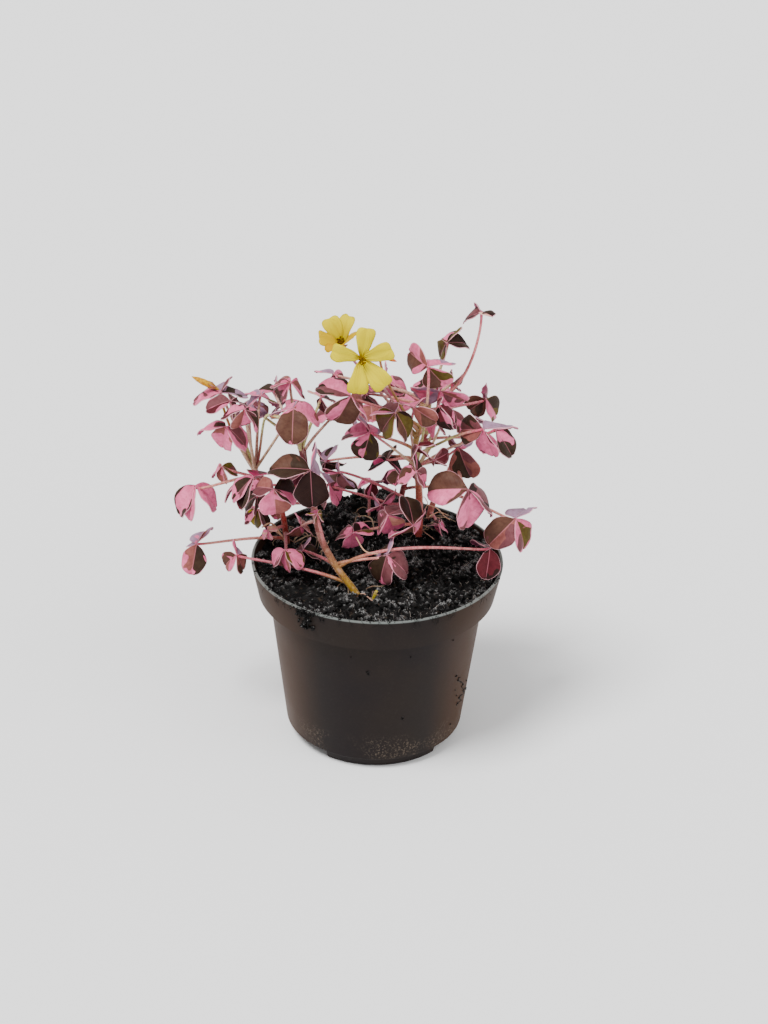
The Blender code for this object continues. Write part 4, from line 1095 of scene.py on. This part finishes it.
def bud(name):
    """A closed bud: rolled petals that come out of a short calyx."""
    shape = BUDS[name]
    foot, point = seen(*shape.foot), seen(*shape.point)
    path = [foot.lerp(point, k / 12) for k in range(13)]
    wide = shape.radius
    parts = [stalk(path, (wide * 0.5, wide, wide * 1.05, wide * 0.8, wide * 0.15), shape.tints, 4)]
    ahead, long = (point - foot).normalized(), (point - foot).length
    for lean in round_about(ahead, 5):
        sepal = [foot - ahead * 0.2 + lean * wide * 0.3, foot + ahead * long * 0.2 + lean * wide * 0.95,
                 foot + ahead * long * 0.42 + lean * wide * 0.9]
        parts.append(stalk(sepal, (0.3, 0.42, 0.1), SEPAL_TINTS, 1))
    piece = join(name + "_rolled", parts)
    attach(piece, "root")
    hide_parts(name)


# Soil


def soil_height(x, y):
    height = SOIL_EDGE
    for across, back, rises, spread in MOUNDS:
        height += rises * math.exp(-((x - across) ** 2 + (y - back) ** 2) / (2 * spread ** 2))
    return height


def smooth_slope(x, y):
    """1 where the peat has been washed smooth at the front left, 0 elsewhere."""
    return math.exp(-((x - SLOPE[0]) ** 2 + (y - SLOPE[1]) ** 2) / (2 * SLOPE[2] ** 2))


def crumb_relief(x, y):
    """How far the crumbled surface stands above its mean, in millimetres."""
    spot = Vector((x, y, 4.0))
    stands = noise.noise(spot / SWELL_WIDTH) * SWELL_HEIGHT
    for width, height in CRUMB_SIZES:
        stands += (1 - abs(noise.noise(spot / width)) * 1.6) ** 2 * height
    return (stands - MEAN_RELIEF) * (1 - 0.8 * smooth_slope(x, y))


def crumb_height(x, y):
    edge = min(1, max(0, (SOIL_RADIUS - math.hypot(x, y)) / 3))
    return soil_height(x, y) + crumb_relief(x, y) * (0.5 + 0.5 * edge) - SLOPE_SINKS * smooth_slope(x, y)


def soil_bed():
    """The peat: a disc with a crumbled top and sides that run down inside the pot."""
    bed = shape_from(bpy.ops.mesh.primitive_grid_add, "soil_bed", x_subdivisions=SOIL_GRID,
                     y_subdivisions=SOIL_GRID, size=2)
    # Painted highlight mask: stronger where the crumbled surface stands higher, weaker on the washed slope
    painted_highlight_mask = []
    for vertex in bed.data.vertices:
        u, v = vertex.co.x, vertex.co.y
        x = u * math.sqrt(1 - v * v / 2) * SOIL_RADIUS
        y = v * math.sqrt(1 - u * u / 2) * SOIL_RADIUS
        vertex.co = Vector((x, y, crumb_height(x, y))) * MM
        painted_highlight_mask.append(0.25 + 0.55 * crumb_relief(x, y) - 0.2 * smooth_slope(x, y))
    set_values(bed.data, "painted_highlight_mask", "FLOAT", "POINT", painted_highlight_mask)
    bpy.ops.object.mode_set(mode="EDIT")
    bpy.ops.mesh.select_all(action="DESELECT")
    bpy.ops.mesh.select_non_manifold()
    for shrink, drop in SIDE_STEPS:
        bpy.ops.mesh.extrude_edges_move(TRANSFORM_OT_translate={"value": (0, 0, -drop * MM)})
        bpy.ops.transform.resize(value=(shrink, shrink, 1), center_override=(0, 0, 0))
    bpy.ops.mesh.edge_face_add()
    bpy.ops.mesh.select_all(action="SELECT")
    bpy.ops.mesh.normals_make_consistent(inside=False)
    bpy.ops.object.mode_set(mode="OBJECT")
    bed.data.materials.append(SOIL)
    bpy.ops.object.shade_smooth()
    return bed


def lump(seed):
    """A rough clod one unit across."""
    piece = shape_from(bpy.ops.mesh.primitive_ico_sphere_add, "lump", subdivisions=2, radius=1)
    for vertex in piece.data.vertices:
        vertex.co *= 0.75 + 1.1 * noise.noise(vertex.co * 1.5 + Vector((seed * 7.3, 0, 0)))
    points = [v.co.copy() for v in piece.data.vertices]
    faces = [tuple(p.vertices) for p in piece.data.polygons]
    bpy.data.objects.remove(piece)
    return points, faces


def strewn(name, places, draw):
    """One mesh of many clods, each a rough lump that is turned, scaled and set in its place."""
    points, faces, painted_highlight_mask = [], [], []
    for spot, size in places:
        shape, sides = draw.choice(LUMPS)
        axis = Vector((draw.uniform(-1, 1), draw.uniform(-1, 1), 1))
        turn = Matrix.Rotation(draw.uniform(0, 6.3), 3, axis)
        squash = Vector((draw.uniform(0.6, 1.4), draw.uniform(0.6, 1.4), draw.uniform(0.6, 1.1)))
        # Painted highlight mask: each clod gets its own strength, stronger on its top
        bright = draw.uniform(0.1, 0.85)
        base = len(points)
        for p in shape:
            q = turn @ p
            points.append(spot + q * squash * size)
            painted_highlight_mask.append(bright * (0.4 + 0.8 * q.z))
        faces += [tuple(i + base for i in side) for side in sides]
    piece = mesh_piece(name, points, faces)
    piece.data.materials.append(SOIL)
    set_values(piece.data, "painted_highlight_mask", "FLOAT", "POINT", painted_highlight_mask)
    pick(piece)
    bpy.ops.object.shade_smooth()
    return piece


def threads(name, paths, finish):
    """One mesh of many thin round threads with pointed ends."""
    points, faces = [], []
    for path, radius in paths:
        base = len(points)
        points.append(path[0])
        for before, here, after in zip(path, path[1:], path[2:]):
            side, up = across_from(after - before)
            up.normalize()
            for turn in (0, 2.1, 4.2):
                points.append(here + (side * math.cos(turn) + up * math.sin(turn)) * radius)
        last = len(points)
        points.append(path[-1])
        for k in range(3):
            after = (k + 1) % 3
            faces.append((base, base + 1 + after, base + 1 + k))
            for ring in range(base + 1, last - 3, 3):
                faces.append((ring + k, ring + after, ring + after + 3, ring + k + 3))
            faces.append((last, last - 3 + k, last - 3 + after))
    piece = mesh_piece(name, points, faces)
    piece.data.materials.append(finish)
    return piece


def around_rim(angle, radius, height):
    """A point at an angle from the front of the pot, in degrees towards +X."""
    turn = math.radians(angle)
    return Vector((math.sin(turn) * radius, -math.cos(turn) * radius, height))


def on_wall(across, up):
    """The point of the pot's side that is seen at a place on the measuring plane."""
    depth = 0.0
    for _ in range(12):
        spot = seen(across, up, depth)
        part = (spot.z - FOOT_HEIGHT) / (BODY_TOP - FOOT_HEIGHT)
        radius = BODY_BOTTOM_RADIUS + (BODY_TOP_RADIUS - BODY_BOTTOM_RADIUS) * part
        depth = -math.sqrt(max(1.0, radius * radius - spot.x ** 2))
    return spot


def clods():
    """Loose clods on the bed, the clump that hangs over the rim, and bits stuck to the pot."""
    draw = random.Random(23)
    places = []
    while len(places) < CLODS:
        x, y = draw.uniform(-50, 50), draw.uniform(-50, 50)
        if math.hypot(x, y) > SOIL_RADIUS - 1.2 or draw.random() < smooth_slope(x, y) * 0.9:
            continue
        size = 0.4 + 2.0 * draw.random() ** 3
        places.append((Vector((x, y, crumb_height(x, y) + size * 0.2)), size))
    for _ in range(CLUMP_BITS):
        drop = CLUMP_DROP * draw.random() ** 1.4
        angle = CLUMP_ANGLE + draw.gauss(0, 3.6 - 0.2 * drop)
        radius = RIM_RADIUS + 0.5 - drop * (RIM_RADIUS - COLLAR_BOTTOM_RADIUS) / 14.5
        places.append((around_rim(angle, radius + draw.uniform(-0.2, 0.4), POT_HEIGHT + 0.5 - drop),
                       draw.uniform(0.3, 0.85)))
    for _ in range(RIM_BITS):
        angle = draw.uniform(-75, 75)
        radius = RIM_RADIUS - draw.uniform(0.0, 1.6)
        places.append((around_rim(angle, radius, POT_HEIGHT + 0.05), 0.12 + 0.5 * draw.random() ** 3))
    places += [(on_wall(across, up), size) for across, up, size in WALL_BITS]
    return strewn("clods", places, draw)


def fibres():
    """Fine pale roots over the soil, and short dark ones that hang on the rim."""
    draw = random.Random(31)
    paths = []
    for _ in range(FIBRES):
        turn, away = draw.uniform(0, 6.3), 49 * math.sqrt(draw.random())
        x, y = math.cos(turn) * away, math.sin(turn) * away
        if draw.random() < smooth_slope(x, y) * 0.7:
            continue
        stride = draw.uniform(0.15, 0.5)
        path = []
        for _ in range(7):
            path.append(Vector((x, y, crumb_height(x, y) + draw.uniform(0.1, 0.8))))
            turn += draw.uniform(-0.45, 0.45)
            x += math.cos(turn) * stride
            y += math.sin(turn) * stride
        paths.append((path, draw.uniform(0.05, 0.13)))
    pale = threads("pale_fibres", paths, FIBRE)
    paths = []
    for number in range(RIM_FIBRES):
        angle = draw.uniform(-60, 60) if number % 2 else CLUMP_ANGLE + draw.gauss(0, 4)
        height, radius = POT_HEIGHT - 0.3, RIM_RADIUS - 1.2
        path = []
        for _ in range(7):
            path.append(around_rim(angle, radius, height))
            angle += draw.uniform(-1.1, 1.1)
            radius = min(radius + 0.7, RIM_RADIUS + 0.4)
            height += 0.45 if radius < RIM_RADIUS else -draw.uniform(0.1, 1.1)
        paths.append((path, draw.uniform(0.05, 0.1)))
    for stroke in WALL_STROKES:
        paths.append((smooth_route([on_wall(*place) for place in stroke], 0.5), STROKE_RADIUS))
    return [pale, threads("dark_fibres", paths, SOIL)]


def litter():
    """Dead pale stalks that curl round the feet of the stems."""
    draw = random.Random(47)
    pieces = []
    for x, y, count in LITTER:
        for _ in range(count):
            turn, climb = draw.uniform(0, 6.3), draw.uniform(0.2, 1.2)
            spot = Vector((x + draw.gauss(0, 3), y + draw.gauss(0, 3), 0))
            spot.z = crumb_height(spot.x, spot.y) - 0.5
            path = []
            for _ in range(9):
                path.append(spot.copy())
                turn += draw.uniform(-0.5, 0.8)
                spot += Vector((math.cos(turn), math.sin(turn), climb)) * 1.3
                climb -= 0.22
                spot.z = max(spot.z, crumb_height(spot.x, spot.y) + 0.2)
            tints = draw.choice(LITTER_TINTS)
            wide = draw.uniform(0.12, 0.3)
            pieces.append(stalk(path, (wide, wide, wide * 0.5), tints, 1))
    for route, wide in LOOSE_STALKS:
        path = smooth_route([seen(*spot) for spot in route], 1.0)
        pieces.append(stalk(path, (wide, wide, wide * 0.6), LOOSE_TINTS, 1))
    return pieces


def soil():
    for made in (soil_bed(), clods(), join("fibres", fibres() + litter())):
        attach(made, "root")
        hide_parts("soil")


# Pot


def rounded(profile, reach):
    """Cut each corner of a profile back by a reach, in three short sides."""
    out = [profile[0]]
    for before, corner, after in zip(profile, profile[1:], profile[2:]):
        a, b, c = Vector(before), Vector(corner), Vector(after)
        cut = min(reach, (b - a).length * 0.4, (c - b).length * 0.4)
        start, end = b + (a - b).normalized() * cut, b + (c - b).normalized() * cut
        for t in (0, 0.33, 0.67, 1):
            out.append(tuple(start * (1 - t) ** 2 + b * 2 * t * (1 - t) + end * t * t))
    return out + [profile[-1]]


def spun(name, profile):
    """A closed solid spun round the pot's axis from a profile that starts and ends on it."""
    links = [(i, i + 1) for i in range(len(profile) - 1)]
    piece = mesh_piece(name, [(radius, 0, height) for radius, height in profile], [], links)
    pick(piece)
    bpy.ops.object.mode_set(mode="EDIT")
    bpy.ops.mesh.select_all(action="SELECT")
    bpy.ops.mesh.spin(steps=POT_STEPS, angle=FULL_TURN, center=(0, 0, 0), axis=(0, 0, 1))
    bpy.ops.mesh.select_all(action="SELECT")
    bpy.ops.mesh.remove_doubles(threshold=0.00001)
    bpy.ops.mesh.normals_make_consistent(inside=False)
    bpy.ops.object.mode_set(mode="OBJECT")
    return piece


def outer_profile():
    """The outside from the middle of the foot to the middle of the open top."""
    side = [(0, 0), (FOOT_RADIUS, 0), (FOOT_TOP_RADIUS, FOOT_HEIGHT), (BODY_BOTTOM_RADIUS, FOOT_HEIGHT),
            (BODY_TOP_RADIUS, BODY_TOP), (BODY_TOP_RADIUS + 1.0, COLLAR_BOTTOM),
            (COLLAR_BOTTOM_RADIUS, COLLAR_BOTTOM)]
    rim = [(RIM_RADIUS - 0.15, POT_HEIGHT - RIM_ROUND), (RIM_RADIUS - 0.2, POT_HEIGHT - 0.2),
           (RIM_RADIUS - RIM_ROUND, POT_HEIGHT), (0, POT_HEIGHT)]
    return rounded(side, CORNER_ROUND) + rim


def inner_profile(top):
    flare = (RIM_RADIUS - COLLAR_BOTTOM_RADIUS) / (POT_HEIGHT - COLLAR_BOTTOM)
    top_radius = COLLAR_BOTTOM_RADIUS + flare * (top - COLLAR_BOTTOM) - WALL
    return [(0, WALL), (FOOT_RADIUS - WALL, WALL), (FOOT_TOP_RADIUS - WALL, FOOT_HEIGHT),
            (BODY_TOP_RADIUS - WALL, BODY_TOP + WALL), (COLLAR_BOTTOM_RADIUS - WALL, COLLAR_BOTTOM + WALL),
            (top_radius, top), (0, top)]


def towards(turn):
    """The level direction at a turn from +X."""
    return Vector((math.cos(turn), math.sin(turn), 0))


def notch_block(angle, grow):
    """The wedge of a foot notch, grown on every side that the pot's wall covers."""
    half = math.radians(NOTCH_WIDTH / 2)
    middle = math.radians(angle) - math.pi / 2
    spread = [middle + half * k / NOTCH_STEPS for k in range(-NOTCH_STEPS, NOTCH_STEPS + 1)]
    ring = [towards(turn) * (NOTCH_INNER_RADIUS - grow) for turn in spread]
    ring += [towards(turn) * RIM_RADIUS for turn in reversed(spread)]
    side_a = Vector((math.sin(spread[0]), -math.cos(spread[0]), 0)) * grow
    side_b = Vector((-math.sin(spread[-1]), math.cos(spread[-1]), 0)) * grow
    count, size = len(spread), len(ring)
    for i, side in ((0, side_a), (size - 1, side_a), (count - 1, side_b), (count, side_b)):
        ring[i] = ring[i] + side
    points = [p + Vector((0, 0, -1)) for p in ring]
    points += [p + Vector((0, 0, FOOT_HEIGHT + grow)) for p in ring]
    faces = [tuple(range(size)), tuple(reversed(range(size, 2 * size)))]
    for i in range(size):
        after = (i + 1) % size
        faces.append((i, i + size, after + size, after))
    return mesh_piece("notch", points, faces)


def cut_away(base, cutters):
    for cutter in cutters:
        step = base.modifiers.new("cut", "BOOLEAN")
        step.operation = "DIFFERENCE"
        step.solver = "EXACT"
        step.object = cutter
        pick(base)
        bpy.ops.object.modifier_apply(modifier=step.name)
        bpy.data.objects.remove(cutter)
    return base


def drain(angle):
    spot = towards(math.radians(angle) - math.pi / 2) * DRAIN_DISTANCE + Vector((0, 0, FOOT_HEIGHT))
    return shape_from(bpy.ops.mesh.primitive_cylinder_add, "drain", vertices=32,
                      radius=DRAIN_RADIUS * MM, depth=6 * MM, location=spot * MM)


def pot():
    made = spun("pot_wall", outer_profile())
    cavity = cut_away(spun("cavity", inner_profile(POT_HEIGHT + 1)),
                      [notch_block(angle, WALL) for angle in NOTCH_ANGLES])
    made = cut_away(made, [cavity] + [notch_block(angle, 0) for angle in NOTCH_ANGLES]
                    + [drain(angle) for angle in NOTCH_ANGLES])
    made.data.materials.clear()
    made.data.materials.append(pot_finish())
    pick(made)
    bpy.ops.object.shade_smooth_by_angle(angle=math.radians(35))
    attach(made, "root")
    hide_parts("pot")


# Stage


def stage():
    floor = shape_from(bpy.ops.mesh.primitive_plane_add, "floor", size=8)
    paper = new_finish("paper", Roughness=0.9, Specular_IOR_Level=0.1)
    finish_off(paper, blend(paper, grain(paper, 3.0, 1.0), *PAPER))
    floor.data.materials.append(paper)
    world = bpy.data.worlds.new("studio")
    bpy.context.scene.world = world
    world.use_nodes = True
    light = world.node_tree.nodes["Background"].inputs
    light["Color"].default_value = (1.0, 1.0, 1.0, 1)
    light["Strength"].default_value = WORLD_LIGHT
    for name, place, spread, power in LAMPS:
        lamp = bpy.data.lights.new(name, "SUN")
        lamp.angle = math.radians(spread)
        lamp.energy = power
        holder = place_in_scene(name, lamp)
        holder.location = place
        holder.rotation_euler = (-Vector(place)).to_track_quat("-Z", "Y").to_euler()


def camera():
    down, roll = math.radians(CAMERA_DOWN), math.radians(CAMERA_ROLL)
    ahead = Vector((0, math.cos(down), -math.sin(down)))
    right, up = Vector((1, 0, 0)), Vector((0, math.sin(down), math.cos(down)))
    across = right * math.cos(roll) + up * math.sin(roll)
    upward = up * math.cos(roll) - right * math.sin(roll)
    lens = bpy.data.cameras.new("camera")
    lens.lens = LENS
    lens.sensor_width = SENSOR
    lens.clip_end = 20
    holder = place_in_scene("camera", lens)
    turn = Matrix((across, upward, -ahead)).transposed().to_4x4()
    holder.matrix_world = Matrix.Translation(Vector(CAMERA_PLACE) * MM) @ turn
    bpy.context.scene.camera = holder


LEAF_TOP = leaf_finish("leaf_top", False)
LEAF_UNDER = leaf_finish("leaf_under", True)
PETAL_SKIN = petal_finish()
STALK = stalk_finish()
STAMEN = stamen_finish()
HAIR = hair_finish()
SOIL = soil_finish()
LUMPS = [lump(k) for k in range(6)]
FIBRE = fibre_finish()
LEAFLET = blank("leaflet", LEAFLET_EDGE, 12, 14)
PETAL = blank("petal", PETAL_EDGE, 10, 14)

camera()
stage()
pot()
soil()
for index, stem_name in enumerate(STEMS):
    leafy_stem(stem_name, index)
bloom("bloom_front", FRONT_PETALS, 0)
bloom("bloom_back", BACK_PETALS, 1)
for bud_name in BUDS:
    bud(bud_name)
bpy.data.objects.remove(LEAFLET)
bpy.data.objects.remove(PETAL)
